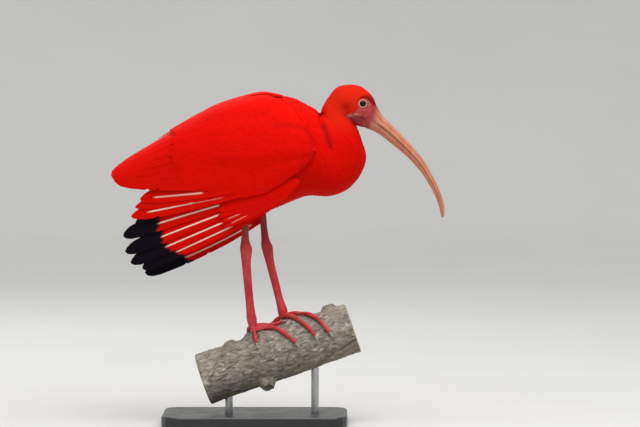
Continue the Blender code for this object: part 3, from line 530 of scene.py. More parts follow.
wing_ground = {side: Surface(wing_grid(side), flip=side < 0) for side in (-1, 1)}
for side in (-1, 1):
    if wing_ground[side].normal[150, 80, 1] * side < 0:
        wing_ground[side] = Surface(wing_grid(side), flip=side > 0)
print("outward on the wings:", [wing_ground[s].normal[150, 90].round(2) for s in (-1, 1)])


def down_to(x, z):
    """How far down from the ridge the height z is, at x."""
    downs = np.arange(0.0, WING_DOWN, 0.5)
    _, heights = form_section(x, downs)
    return float(np.interp(-z, -heights, downs))


def on_wing(side, x, down, lift):
    """Points over the wing's ground. They stay on their own side of the bird."""
    p, n, _, _ = wing_ground[side].read(np.asarray(x) - WING_X0, np.maximum(down, 1.2))
    p = p + n * np.asarray(lift)[..., None]
    p[..., 1] = side * np.maximum(side * p[..., 1], 0.4)
    return p, n


# %% The arm of the wing
ARM_TOP = ((-96.0, 1.6), (-70.0, 2.0), (-40.0, 3.5), (-10.0, 8.0), (15.0, 16.0), (35.0, 29.0),
           (53.0, 45.0), (65.0, 57.0), (74.0, 68.0), (78.5, 76.0))
ARM_BOTTOM = ((-96.0, 338.0), (-65.0, 333.5), (-39.0, 325.0), (-13.0, 323.0), (13.0, 329.0), (39.0, 344.5),
              (58.5, 359.0), (68.0, 367.0), (74.0, 374.0), (78.5, 384.0))
ARM_BULGE, ARM_EDGE, HAND_ROOM = 8.0, 1.3, 6.6


def arm_heights(x, t):
    """Height of the arm's inner and outer side over the wing's ground, t from top to bottom."""
    front = 1 - ease(x, 50.0, 79.0)
    under = 0.9 + HAND_ROOM * ease(t, 0.45, 0.92) * ease(80.0 - x, 0.0, 30.0) * (0.45 + 0.55 * ease(x, -112, -50))
    bulge = ARM_EDGE + ARM_BULGE * (np.sin(math.pi * np.clip(t, 0, 1)) ** 0.8) * (0.35 + 0.65 * front)
    rear = 1 - 0.75 * (1 - ease(x, -96.0, -30.0))
    thick = (ARM_EDGE + (bulge - ARM_EDGE) * rear) * (1 - 0.4 * ease(t, 0.62, 0.8))
    return under, under + thick


def arm_lines(x):
    top = float(np.interp(x, *zip(*ARM_TOP)))
    return top, down_to(x, float(np.interp(x, *zip(*ARM_BOTTOM))))


def arm_grids(side, inset, rear, start=-96.0):
    """Outer and inner grids of the arm, along x and across from top to bottom. The outer one
    lies deeper by the inset, and at the rear end by another."""
    xs = np.concatenate([np.linspace(start, 56, 90), 56 + 22.3 * np.sin(np.linspace(0, math.pi / 2, 17)[1:])])
    shares = 0.5 - 0.5 * np.cos(np.linspace(0, math.pi, 44))
    outer, inner = [], []
    for x in xs:
        top, low = arm_lines(x)
        down = top + (low - top) * shares
        under, over = arm_heights(np.full(len(shares), x), shares)
        over = over - inset - (rear - inset) * (1 - ease(x, -88.0, -45.0)) * ease(x, -128.0, -92.0)
        fold = creases(on_wing(side, np.full(len(down), x), down, over)[0])
        over = np.maximum(over - fold, under + 0.25)
        outer.append(on_wing(side, np.full(len(down), x), down, over)[0])
        inner.append(on_wing(side, np.full(len(down), x), down, under)[0])
    return np.array(outer), np.array(inner)


ARM_DEPTH = 0.45
arms = {}
for word, side in (("right", -1), ("left", 1)):
    outer, inner = arm_grids(side, ARM_DEPTH, ARM_DEPTH + 1.2)
    inner = inner - np.array([0, side * 6.0, 0]) * (np.sin(np.linspace(0, math.pi, 44)) ** 0.5)[None, :, None]
    arms[side] = tube_piece("arm_" + word, np.concatenate([outer, inner[:, ::-1]], axis=1))
print("arm:", triangles(arms[1]), "triangles each")

# %% Thighs
THIGHS = {
    -1: ((14.0, -26.0, 352.0, 30.0, 19.0), (6.0, -27.0, 328.0, 24.0, 16.0),
         (-4.0, -26.5, 312.0, 16.5, 12.0), (-12.4, -25.0, 297.3, 6.4, 5.6)),
    1: ((26.0, 26.0, 352.0, 30.0, 19.0), (22.0, 27.0, 328.0, 23.0, 16.0),
        (16.0, 26.5, 314.0, 14.5, 12.0), (9.3, 25.0, 302.3, 6.4, 5.6)),
}


def limb_grid(path, count, sides):
    """Level, oval rings along a limb. Each row of the path is x, y, z and two half widths."""
    rows = evenly(path, count)
    a = full_turn(sides)
    return np.stack([rows[:, 0:1] + rows[:, 3:4] * np.cos(a), rows[:, 1:2] + rows[:, 4:5] * np.sin(a),
                     np.repeat(rows[:, 2:3], sides, axis=1)], axis=-1)


thigh_form = {}
thighs = []
for side in (-1, 1):
    grid = limb_grid(THIGHS[side], 40, 72)
    form = Surface(grid, closed=True)
    if form.normal[20, 0, 0] < 0:
        form = Surface(grid, closed=True, flip=True)
    thigh_form[side] = form
    thighs.append(tube_piece(f"thigh_{side}", grid - form.normal * 0.9))

joined(skin, thighs + [arms[-1], arms[1]])
print("skin with thighs and arms:", triangles(skin), "triangles")

# %% [markdown]
# ## Materials: what every finish shares
# The red of an ibis is a pigment that soaks the whole feather, so light that comes back from
# it is red too, even in the highlights. The finish is made in small shared groups. One mixes
# the colours by the stored markings, one draws the fine barbs of a feather, and one adds soft
# unevenness. A group only hands out colours, masks and heights. The shader itself stays in
# each material, where its fixed numbers are set on its own sockets.

# %% Node helpers
def group_of(name, inputs, outputs):
    """A new shader group with its named inputs and outputs: kind, name and value."""
    made = bpy.data.node_groups.new(name, "ShaderNodeTree")
    for kind, label, value in inputs:
        socket = made.interface.new_socket(name=label, in_out="INPUT", socket_type="NodeSocket" + kind)
        if value is not None:
            socket.default_value = value
    for kind, label in outputs:
        made.interface.new_socket(name=label, in_out="OUTPUT", socket_type="NodeSocket" + kind)
    return made, made.nodes.new("NodeGroupInput"), made.nodes.new("NodeGroupOutput")


class Bench:
    """Short ways to place and join nodes in one tree."""

    def __init__(self, tree):
        self.tree = tree

    def put(self, kind, settings=None, **inputs):
        node = self.tree.nodes.new("ShaderNode" + kind)
        for key, value in (settings or {}).items():
            setattr(node, key, value)
        for key, value in inputs.items():
            self.give(node, key, value)
        return node

    def give(self, node, key, value):
        slot = node.inputs[int(key[1:])] if key[0] == "i" and key[1:].isdigit() else node.inputs[key.replace("_", " ")]
        if hasattr(value, "is_linked"):
            self.tree.links.new(value, slot)
        else:
            slot.default_value = value

    def math(self, operation, a, b=0.0, c=0.0, clamp=False):
        node = self.put("Math", {"operation": operation, "use_clamp": clamp}, i0=a, i1=b)
        self.give(node, "i2", c)
        return node.outputs[0]

    def mix(self, share, a, b, blend="MIX"):
        node = self.tree.nodes.new("ShaderNodeMix")
        node.data_type, node.blend_type = "RGBA", blend
        for slot, value in ((0, share), (6, a), (7, b)):
            if hasattr(value, "is_linked"):
                self.tree.links.new(value, node.inputs[slot])
            else:
                node.inputs[slot].default_value = value
        return node.outputs[2]

    def value(self, name):
        return self.put("Attribute", {"attribute_type": "GEOMETRY", "attribute_name": name}).outputs["Fac"]

    def ramp(self, source, low, high, to_low=0.0, to_high=1.0):
        node = self.put("MapRange", None, Value=source)
        for key, number in (("From Min", low), ("From Max", high), ("To Min", to_low), ("To Max", to_high)):
            node.inputs[key].default_value = number
        return node.outputs[0]

    def noise(self, place, scale, detail=3.0, rough=0.55):
        node = self.put("TexNoise", None, Vector=place, Scale=scale, Detail=detail, Roughness=rough)
        return node.outputs[0]

    def stretched(self, place, scale, turn=(0, 0, 0)):
        node = self.put("Mapping", None, Vector=place)
        node.inputs["Scale"].default_value = scale
        node.inputs["Rotation"].default_value = turn
        return node.outputs[0]


def finish_of(name, **numbers):
    """A new material: its tree's bench and its one shader, with the fixed numbers set."""
    made = bpy.data.materials.new(name)
    made.use_nodes = True
    shader = made.node_tree.nodes["Principled BSDF"]
    for key, value in numbers.items():
        shader.inputs[key.replace("_", " ")].default_value = value
    return made, Bench(made.node_tree), shader


def bumped(bench, shader, height, distance, strength=1.0):
    bump = bench.put("Bump", None, Height=height, Distance=distance, Strength=strength)
    bench.tree.links.new(bump.outputs[0], shader.inputs["Normal"])


# %% The red of the plumage
PLUMAGE, given, handed = group_of(
    "plumage_colour",
    [("Color", "Scarlet", (0.74, 0.005, 0.002, 1)), ("Color", "Deep red", (0.33, 0.002, 0.001, 1)),
     ("Color", "Orange red", (0.76, 0.022, 0.007, 1)), ("Color", "Maroon", (0.085, 0.004, 0.006, 1)),
     ("Color", "Black", (0.004, 0.005, 0.009, 1)), ("Color", "Cream", (0.98, 0.92, 0.72, 1)),
     ("Float", "Variety", 1.0)],
    [("Color", "Color"), ("Float", "Dark share")])
b = Bench(PLUMAGE)
place = b.put("TexCoord").outputs["Object"]
cloud = b.ramp(b.noise(place, 34.0, 3.0), 0.32, 0.70)
tone = b.value("tone")
red = b.mix(b.value("warm"), given.outputs["Scarlet"], given.outputs["Orange red"])
shade = b.math("MULTIPLY", b.math("ADD", b.math("MULTIPLY", tone, 0.12), b.math("MULTIPLY", cloud, 0.14)),
               given.outputs["Variety"], clamp=True)
red = b.mix(shade, red, given.outputs["Deep red"])
# Painted shade: the red deepens towards each feather's root, which lies in the shade of the feathers over it.
root = b.math("MULTIPLY", b.ramp(b.value("along"), 0.6, 0.1), 0.16, clamp=True)
red = b.mix(root, red, given.outputs["Deep red"])
# The dark share is the bird's own dark marks together with painted shade in folds, in the ear's hollow and at the
# feather edge over the eye.
red = b.mix(b.math("MULTIPLY", b.value("maroon"), 0.95), red, given.outputs["Maroon"])
dark = b.value("black")
red = b.mix(dark, red, given.outputs["Black"])
red = b.mix(b.value("shaft"), red, given.outputs["Cream"])
b.tree.links.new(red, handed.inputs["Color"])
b.tree.links.new(dark, handed.inputs["Dark share"])

# %% The barbs of a feather
BARBS, given, handed = group_of(
    "feather_barbs",
    [("Float", "Pitch", 0.8), ("Float", "Slant", 0.9), ("Float", "Raggedness", 0.35)],
    [("Float", "Height"), ("Float", "Streaks")])
b = Bench(BARBS)
flat = b.put("UVMap", {"uv_map": "Vane"}).outputs[0]
parts = b.put("SeparateXYZ", None, Vector=flat)
across, along = b.math("ABSOLUTE", parts.outputs[0]), parts.outputs[1]
line = b.math("SUBTRACT", along, b.math("MULTIPLY", across, given.outputs["Slant"]))
spread = b.put("CombineXYZ", None, X=b.math("MULTIPLY", parts.outputs[0], 0.35), Y=b.math("MULTIPLY", line, 1.0))
ragged = b.noise(spread.outputs[0], 7.0, 4.0, 0.6)
turns = b.math("DIVIDE", b.math("MULTIPLY", line, 62.83), given.outputs["Pitch"])
wave = b.math("SINE", b.math("ADD", turns, b.math("MULTIPLY", ragged, 9.0)))
height = b.math("ADD", b.math("MULTIPLY", wave, 0.25), b.math("MULTIPLY", ragged, given.outputs["Raggedness"]))
b.tree.links.new(height, handed.inputs["Height"])
b.tree.links.new(b.ramp(ragged, 0.35, 0.68), handed.inputs["Streaks"])

# %% Feather finishes
def feather_finish(name, pitch, variety, depth, **numbers):
    made, b, shader = finish_of(name, **numbers)
    plumage = b.put("Group", {"node_tree": PLUMAGE})
    plumage.inputs["Variety"].default_value = variety
    barbs = b.put("Group", {"node_tree": BARBS})
    barbs.inputs["Pitch"].default_value = pitch
    red_only = b.math("SUBTRACT", 1.0, plumage.outputs["Dark share"])
    streaks = b.math("MULTIPLY", b.math("MULTIPLY", barbs.outputs["Streaks"], 0.16 * variety), red_only)
    streaked = b.mix(streaks, plumage.outputs["Color"], (0.30, 0.002, 0.001, 1))
    b.give(shader, "Base_Color", streaked)
    b.give(shader, "Roughness", b.ramp(plumage.outputs["Dark share"], 0, 1, 0.62, 0.42))
    bumped(b, shader, barbs.outputs["Height"], depth)
    return made


COAT = feather_finish("coat_feathers", 0.7, 0.7, 0.00012, Sheen_Weight=0.03, Sheen_Roughness=0.5,
                      Sheen_Tint=(1.0, 0.05, 0.02, 1), Specular_IOR_Level=0.03, Specular_Tint=(1.0, 0.15, 0.1, 1))
VANES = feather_finish("flight_feathers", 0.9, 1.0, 0.00018, Sheen_Weight=0.02, Sheen_Tint=(1.0, 0.05, 0.02, 1),
                       Specular_IOR_Level=0.05, Specular_Tint=(1.0, 0.3, 0.25, 1))
print("finishes:", [m.name for m in bpy.data.materials][-2:])

# %% [markdown]
# ## How a small feather is made
# A contour feather is a thin, slightly domed blade with a soft, frayed, rounded tip. Here it
# is a closed sliver: a top of a few columns and a keel line below, so it has two sides and a
# real, thin edge. Thousands of them are worked out at once with arrays: each one walks over
# the body from its root, along the lie of the coat, and rises a little towards its tip, so that
# it lies on the next ones like a tile.
# The stored normals lean mostly on the body's own, which melts the feathers into one soft
# form, as the real ones do by their down.

# %% Scattering the roots
def scatter(surface, spacing, wanted, seed, crowd=7.0):
    """Roots spread evenly over the wanted part of a surface, about the spacing apart. Both are
    functions of points; a spot is wanted where the second is above zero."""
    draw = np.random.default_rng(seed)
    grid = surface.grid
    area = np.linalg.norm(np.cross(surface.data[..., 6:9], surface.data[..., 9:12]), axis=-1)
    gap = spacing(grid)
    weight = np.where(wanted(grid) > 0, area / gap**2, 0.0)[:-1].ravel()
    count = int(weight.sum() * crowd)
    columns = grid.shape[1]
    pick = draw.choice(weight.size, size=count, p=weight / weight.sum())
    u = pick // columns + draw.random(count)
    v = pick % columns + draw.random(count) - 0.5
    points = surface.read(u, v)[0]
    keep_out = spacing(points) * 0.8
    cell = float(keep_out.max())
    homes = np.floor(points / cell).astype(int)
    filled, kept = {}, []
    around = [(a, b, c) for a in (-1, 0, 1) for b in (-1, 0, 1) for c in (-1, 0, 1)]
    places, homes, limits = points.tolist(), homes.tolist(), (keep_out**2).tolist()
    for k in range(count):
        x, y, z = places[k]
        i, j, m = homes[k]
        free = True
        for a, b, c in around:
            for px, py, pz in filled.get((i + a, j + b, m + c), ()):
                if (px - x) ** 2 + (py - y) ** 2 + (pz - z) ** 2 < limits[k]:
                    free = False
                    break
            if not free:
                break
        if free:
            filled.setdefault((i, j, m), []).append((x, y, z))
            kept.append(k)
    return u[kept], v[kept], points[kept]


# %% Laying the feathers
def lay(name, surface, u, v, length, width, lifts, turn=0.0, stations=6, columns=5, round_tip=0.3,
        fray=0.09, dome=0.014, thick=0.6, seed=1, unwrap=None, finish=None, extra=None):
    """A coat piece: one closed feather for each root. Lengths, widths and lifts are numbers or
    arrays in millimetres; the turn swings a feather off the lie of the surface."""
    draw = np.random.default_rng(seed)
    count = len(u)
    length, width, turn = (np.broadcast_to(np.asarray(q, float), count) for q in (length, width, turn))
    low, high = (np.broadcast_to(np.asarray(q, float), count) for q in lifts)
    su, sv, aheads = [u], [v], []
    marks = 9
    for k in range(marks):
        _, normal, pu, _ = surface.read(su[-1], sv[-1])
        ahead = unit(-pu)
        side = unit(np.cross(normal, ahead))
        ahead = ahead * np.cos(turn)[:, None] + side * np.sin(turn)[:, None]
        aheads.append(ahead)
        if k < marks - 1:
            nu, nv = surface.walk(su[-1], sv[-1], ahead * (length / (marks - 1))[:, None])
            su.append(nu), sv.append(nv)
    su, sv, aheads = np.array(su), np.array(sv), np.array(aheads)
    s = np.linspace(0, 1, stations)[None, :, None]
    c = np.linspace(-1, 1, columns)[None, None, :]
    reach = 1 - round_tip * np.abs(c) ** 2.0 - fray * draw.random((count, 1, columns)) * 2
    at = s * (1 - (1 - reach) * s**1.5)
    spot = at * (marks - 1)
    i = np.minimum(spot.astype(int), marks - 2)
    share = spot - i
    which = np.arange(count)[:, None, None]
    cu = su[i, which] * (1 - share) + su[i + 1, which] * share
    cv = sv[i, which] * (1 - share) + sv[i + 1, which] * share
    _, normal, _, _ = surface.read(cu, cv)
    ahead = aheads[i, which]
    sideways = unit(np.cross(normal, ahead))
    spread = (0.42 + 0.58 * ease(at, 0.0, 0.5)) * (1 - 0.32 * ease(at, 0.62, 1.0))
    wave = 1 + 0.10 * draw.normal(size=(count, 1, columns)) * s
    offset = c * spread * wave * (width / 2)[:, None, None]
    pu, pv = surface.walk(cu, cv, sideways * offset[..., None])
    point, normal, _, _ = surface.read(pu, pv)
    rise = low[:, None, None] + (high - low)[:, None, None] * at**1.2
    top = point + normal * (rise + dome * width[:, None, None] * (1 - c**2) * 2)[..., None]
    middle = columns // 2
    keel = top[:, :, middle] - normal[:, :, middle] * (thick * (1 - 0.5 * s[..., 0]))[..., None]
    soft = unit(normal + 0.16 * (c * np.abs(c))[..., None] * sideways + 0.12 * (at**3)[..., None] * ahead)
    points = np.concatenate([top.reshape(count, -1, 3), keel], axis=1)
    normals = np.concatenate([soft.reshape(count, -1, 3), -normal[:, :, middle]], axis=1)
    quads, tris = sliver_faces(stations, columns)
    each = points.shape[1]
    shift = (np.arange(count) * each)[:, None, None]
    made = mesh_piece(name, points, (quads[None] + shift).reshape(-1, 4), (tris[None] + shift).reshape(-1, 3),
                      finish)
    along = np.concatenate([at.reshape(count, -1), at[:, :, middle]], axis=1)
    beside = np.concatenate([np.broadcast_to(offset, at.shape).reshape(count, -1),
                             offset[:, :, middle] * np.ones((count, stations))], axis=1)
    point_value(made, "along", along.ravel())
    point_value(made, "tone", np.repeat(draw.random(count), each))
    warm, maroon = markings(points.reshape(-1, 3))
    point_value(made, "warm", warm)
    point_value(made, "maroon", maroon)
    corner_map(made, "Vane", np.stack([beside / 10, along * length[:, None] / 10
                                       + draw.random((count, 1)) * 9], axis=-1).reshape(-1, 2))
    flat = unwrap(u, v)
    patch = np.stack([beside / width[:, None], along - 0.5], axis=-1) * 0.003
    corner_map(made, "OFBake", (flat[:, None, :] + patch).reshape(-1, 2))
    made.data.normals_split_custom_set_from_vertices(normals.reshape(-1, 3).tolist())
    print(name, count, "feathers,", triangles(made), "triangles")
    return made


def sliver_faces(stations, columns):
    """Faces of one closed sliver: the top's columns, then the keel's points."""
    i, j = np.meshgrid(np.arange(stations - 1), np.arange(columns - 1), indexing="ij")
    a = i * columns + j
    quads = [np.stack([a, a + columns, a + columns + 1, a + 1], axis=-1).reshape(-1, 4)]
    i = np.arange(stations - 1)
    keel = stations * columns
    left, right = i * columns, i * columns + columns - 1
    quads.append(np.stack([left, keel + i, keel + i + 1, left + columns], axis=-1))
    quads.append(np.stack([right, right + columns, keel + i + 1, keel + i], axis=-1))
    j = np.arange(columns - 1)
    last = (stations - 1) * columns
    tris = [np.stack([np.full(columns - 1, keel), j, j + 1], axis=-1),
            np.stack([np.full(columns - 1, keel + stations - 1), last + j + 1, last + j], axis=-1)]
    return np.concatenate(quads), np.concatenate(tris)

# %% Coat of the body, neck and head
def body_unwrap(u, v):
    rows, columns = body_form.grid.shape[:2]
    return np.stack([0.02 + 0.96 * np.mod(v, columns) / columns, 0.02 + 0.96 * u / rows], axis=-1)


sunk = coat_depth(body_form.grid) + creases(body_form.grid)
under_coat = Surface(body_form.grid - body_form.normal * sunk[..., None], closed=True)
if (under_coat.normal[90, 0] @ body_form.normal[90, 0]) < 0:
    under_coat = Surface(under_coat.grid, closed=True, flip=True)


def under_wing(points):
    """Above zero where the folded wing hides the body."""
    x, z = points[..., 0], points[..., 2]
    ridge, _, width = form_at(x)
    top = np.interp(x, [-96, -40, -10, 15, 53, 78], [-4, 2, 8, 16, 34, 48])
    low = np.interp(x, *zip(*ARM_BOTTOM)) + 9
    covered = np.minimum(ridge - top - z, z - low)
    return np.minimum(covered, 70 - x)


def wanted_on_body(low, high):
    """A mask function for feathers between two rows, where neither wing nor bare face is."""
    rows = np.arange(body_form.grid.shape[0])[:, None] / ROW_STEPS

    def wanted(points):
        inside_rows = np.minimum(rows - low, high - rows) + 1e-6
        free = np.minimum(-under_wing(points), -bare_face(points) + 0.25)
        return np.minimum(inside_rows, free)

    return wanted


COATS = (
    # name, from row, to row, spacing, length, width, tip lift over the bird's outside
    ("coat_rump", 0.6, 2.6, 4.2, 17.0, 8.0, 0.3),
    ("coat_belly", 2.6, 6.2, 3.9, 16.0, 7.5, 0.15),
    ("coat_breast", 6.2, 9.6, 3.3, 14.0, 6.6, 0.05),
    ("coat_neck", 9.6, 14.0, 2.5, 10.0, 4.6, 0.05),
    ("coat_head", 14.0, 20.0, 1.5, 5.2, 2.4, 0.1),
)
NAPE = np.array([(84.0, 437.0), (88.0, 424.0), (94.5, 405.0), (100.0, 386.0)])
coats = []
for k, (name, low, high, gap, length, width, lift) in enumerate(COATS):
    u, v, roots = scatter(under_coat, lambda p, gap=gap: np.full(p.shape[:-1], gap), wanted_on_body(low, high), 11 + k)
    draw = np.random.default_rng(50 + k)
    size = draw.uniform(0.85, 1.15, len(u))
    near_face = ease(-bare_face(roots), -0.5, 7.0) * 0.55 + 0.45
    near_nape = 0.45 + 0.55 * ease(to_line(roots[:, [0, 2]], NAPE), 3.0, 15.0)
    depth = coat_depth(roots)
    coats.append(lay(name, under_coat, u, v, length * size * near_face * near_nape, width * size * (0.4 + 0.6 * near_face),
                     (depth * 0.4, depth + lift), turn=draw.normal(0, 0.09, len(u)), seed=70 + k,
                     unwrap=body_unwrap, finish=COAT, stations=6, columns=5))

# %% Thigh feathers and the wing's small coverts
def thigh_unwrap(u, v):
    return np.stack([0.02 + 0.96 * np.mod(v, 72) / 72, 0.02 + 0.96 * u / 40], axis=-1)


for word, side in (("right", -1), ("left", 1)):
    form = thigh_form[side]
    flow = Surface(form.grid[::-1], closed=True)
    if flow.normal[20, 0, 0] < 0:
        flow = Surface(form.grid[::-1], closed=True, flip=True)
    u, v, roots = scatter(flow, lambda p: np.full(p.shape[:-1], 3.4), lambda p: 345.0 - p[..., 2], 31 + side)
    draw = np.random.default_rng(90 + side)
    low_end = ease(roots[:, 2], 298, 318)
    coats.append(lay(f"coat_thigh_{word}", flow, u, v, 6.5 + 6.5 * low_end, 3.2 + 2.4 * low_end,
                     (-1.4, 0.4), turn=draw.normal(0, 0.12, len(u)), seed=91 + side, unwrap=thigh_unwrap,
                     finish=COAT))

arm_ground = {}
for side in (-1, 1):
    outer, _ = arm_grids(side, 0.0, -2.0, -150.0)
    form = Surface(outer)
    arm_ground[side] = form if form.normal[50, 20, 1] * side > 0 else Surface(outer, flip=True)


def arm_gap(points):
    """Distance between feathers: small at the wing's bend, large towards its rear."""
    return 3.3 + 3.6 * ease(50 - points[..., 0], 0, 100)


for word, side in (("right", -1), ("left", 1)):
    u, v, roots = scatter(arm_ground[side], arm_gap, lambda p: np.minimum(p[..., 0] + 84.0, 80.0 - p[..., 0]), 41 + side)
    draw = np.random.default_rng(95 + side)
    size = arm_gap(roots) * draw.uniform(0.85, 1.2, len(u))
    coats.append(lay(f"coat_arm_{word}", arm_ground[side], u, v, 4.4 * size * (0.5 + 0.5 * ease(78.0 - roots[:, 0], 2.0, 30.0)),
                     2.3 * size, (-0.7, 0.12),
                     turn=side * -0.08 + draw.normal(0, 0.08, len(u)), seed=97 + side, finish=COAT, stations=9,
                     columns=9, round_tip=0.34, fray=0.03, dome=0.010, thick=0.9,
                     unwrap=lambda u, v: np.stack([0.02 + 0.96 * u / 106, 0.02 + 0.96 * v / 44], axis=-1)))

# %% [markdown]
# ## The long feathers of the wing
# On a folded wing the feathers lie in tiers, like a fan that is half closed: scapulars over
# the shoulder, long tertials that cover most of the wing, and below them the edges of the
# secondaries and primaries, each with its pale shaft. Each long feather is one closed vane
# with its own shaft, a slight dome, and a few splits at its edge where the barbs have come
# apart. The tips of the primaries are black, and the pale shafts end where the black starts.

# %% One long vane
OUTLINES = {
    "long": ((0.0, 0.55), (0.15, 0.8), (0.35, 0.95), (0.65, 1.0), (0.82, 0.9), (0.92, 0.66), (0.97, 0.42), (1.0, 0.10)),
    "pointed": ((0.0, 0.6), (0.3, 0.92), (0.6, 1.0), (0.84, 1.0), (0.91, 0.90), (0.96, 0.64), (0.985, 0.38), (1.0, 0.12)),
    "short": ((0.0, 0.6), (0.3, 0.9), (0.6, 1.0), (0.8, 0.92), (0.92, 0.66), (0.98, 0.36), (1.0, 0.12)),
}
VANE_COLUMNS = np.array([-1, -0.9, -0.72, -0.5, -0.3, -0.15, -0.08, 0.0, 0.08, 0.15, 0.3, 0.5, 0.72, 0.9, 1])


def vane_rows(side, root, tip, inner, outer, lifts, tilt, bow, sink, outline, stations, draw, level, splits=3):
    """Top and bottom points of one vane, and what the materials need at each of them. A level
    vane's root and tip are x and height, and its shaft is straight as seen from the side."""
    root, tip = np.array(root, float), np.array(tip, float)
    length = np.linalg.norm(tip - root)
    s = 1 - (1 - np.linspace(0, 1, stations)) ** 1.25
    keys = np.array(OUTLINES[outline])
    wide = np.interp(s, keys[:, 0], keys[:, 1])
    c = VANE_COLUMNS
    reach = np.where(c < 0, inner, outer)
    if outline == "pointed":
        wide = wide[:, None] ** np.where(c < 0, 0.6, 1.25)
        reach = np.where(c < 0, reach, reach * 0.96)
    else:
        wide = wide[:, None]
    offset = c[None, :] * reach[None, :] * wide
    edge = np.ones((stations, len(c)))
    for _ in range(splits):
        where, deep, way = draw.uniform(0.35, 0.96), draw.uniform(0.08, 0.3), draw.choice((-1, 1))
        k = int(np.abs(s - where).argmin())
        edge[k] -= deep * ease(way * c, 0.45, 1.0)
    offset = offset * edge
    slant = np.abs(offset) * 0.12 * (s[:, None] > 0.02) * (s[:, None] < 0.985)
    centre = root + (tip - root) * s[:, None]
    centre[:, 1] += (-bow if level else bow) * 4 * s * (1 - s)
    if level:
        centre[:, 1] = [down_to(x, z) for x, z in centre]
    ahead = unit(np.gradient(centre, axis=0))[:, None]
    across = np.stack([ahead[..., 1], -ahead[..., 0]], axis=-1)
    across = across * np.sign(across[..., 1:])
    spots = centre[:, None, :] + across * offset[..., None] + ahead * slant[..., None]
    lift = (lifts[0] + (lifts[1] - lifts[0]) * s - sink * np.maximum(0, 1 - s / 0.3))[:, None] + tilt * offset
    shaft_width = 0.92 * (1 - 0.4 * s)
    ridge = 0.55 * (1 - 0.6 * s)[:, None] * np.exp(-(offset / shaft_width[:, None]) ** 2)
    ripple = 0.10 * np.sin(s[:, None] * length / 2.6 + 3 * np.abs(c) + draw.uniform(0, 6)) * np.abs(c) \
        + 0.14 * np.sin(s[:, None] * length / 11.0 + draw.uniform(0, 6) + 2 * c)
    droop = -0.5 * np.abs(c[None, :]) ** 2.5 * (np.abs(offset) / 10.0)
    top, normal = on_wing(side, spots[..., 0], spots[..., 1], lift + 0.6 + ridge * 0.8 + ripple * 0.6 + droop * 0.3)
    bottom, _ = on_wing(side, spots[..., 0], spots[..., 1], lift + 0.12 + ripple * 0.6 + droop * 0.3
                        + 0.22 * np.abs(c[None, :]))
    pale = np.exp(-(offset / (shaft_width[:, None] * 1.15)) ** 4)
    return top, bottom, {"along": np.broadcast_to(s[:, None], offset.shape), "beside": offset,
                         "length": length, "pale": pale, "down": spots[..., 1], "column": np.broadcast_to(c, offset.shape)}


def plate_faces(rows, columns):
    """Faces of a closed plate: the top's grid, then the bottom's."""
    half = rows * columns
    i, j = np.meshgrid(np.arange(rows - 1), np.arange(columns - 1), indexing="ij")
    a = i * columns + j
    top = np.stack([a, a + columns, a + columns + 1, a + 1], axis=-1).reshape(-1, 4)
    bottom = top[:, ::-1] + half
    i = np.arange(rows - 1)
    left, right = i * columns, i * columns + columns - 1
    j = np.arange(columns - 1)
    last = (rows - 1) * columns + j
    sides = [np.stack([left, left + half, left + columns + half, left + columns], axis=-1),
             np.stack([right, right + columns, right + columns + half, right + half], axis=-1),
             np.stack([j, j + 1, j + 1 + half, j + half], axis=-1),
             np.stack([last, last + half, last + 1 + half, last + 1], axis=-1)]
    return np.concatenate([top, bottom] + sides)


# %% Tiers of vanes
def vane(root, tip, inner, outer, lifts, tilt=0.1, bow=0.0, sink=0.0, outline="long", black=None, slant=0.0,
         shaft=None, level=True, stations=46):
    """The numbers of one vane."""
    return dict(root=root, tip=tip, inner=inner, outer=outer, lifts=lifts, tilt=tilt, bow=bow, sink=sink,
                outline=outline, black=black, slant=slant, shaft=shaft, level=level, stations=stations)


def tier(roots, tips, count, lifts, **numbers):
    """A row of vanes between the first and the last one's numbers."""
    shares = np.linspace(0, 1, count)
    return [vane(root=tuple(root), tip=tuple(tip), lifts=[a + (b - a) * share for a, b in zip(*lifts)], **numbers)
            for share, root, tip in zip(shares, evenly(roots, count), evenly(tips, count))]


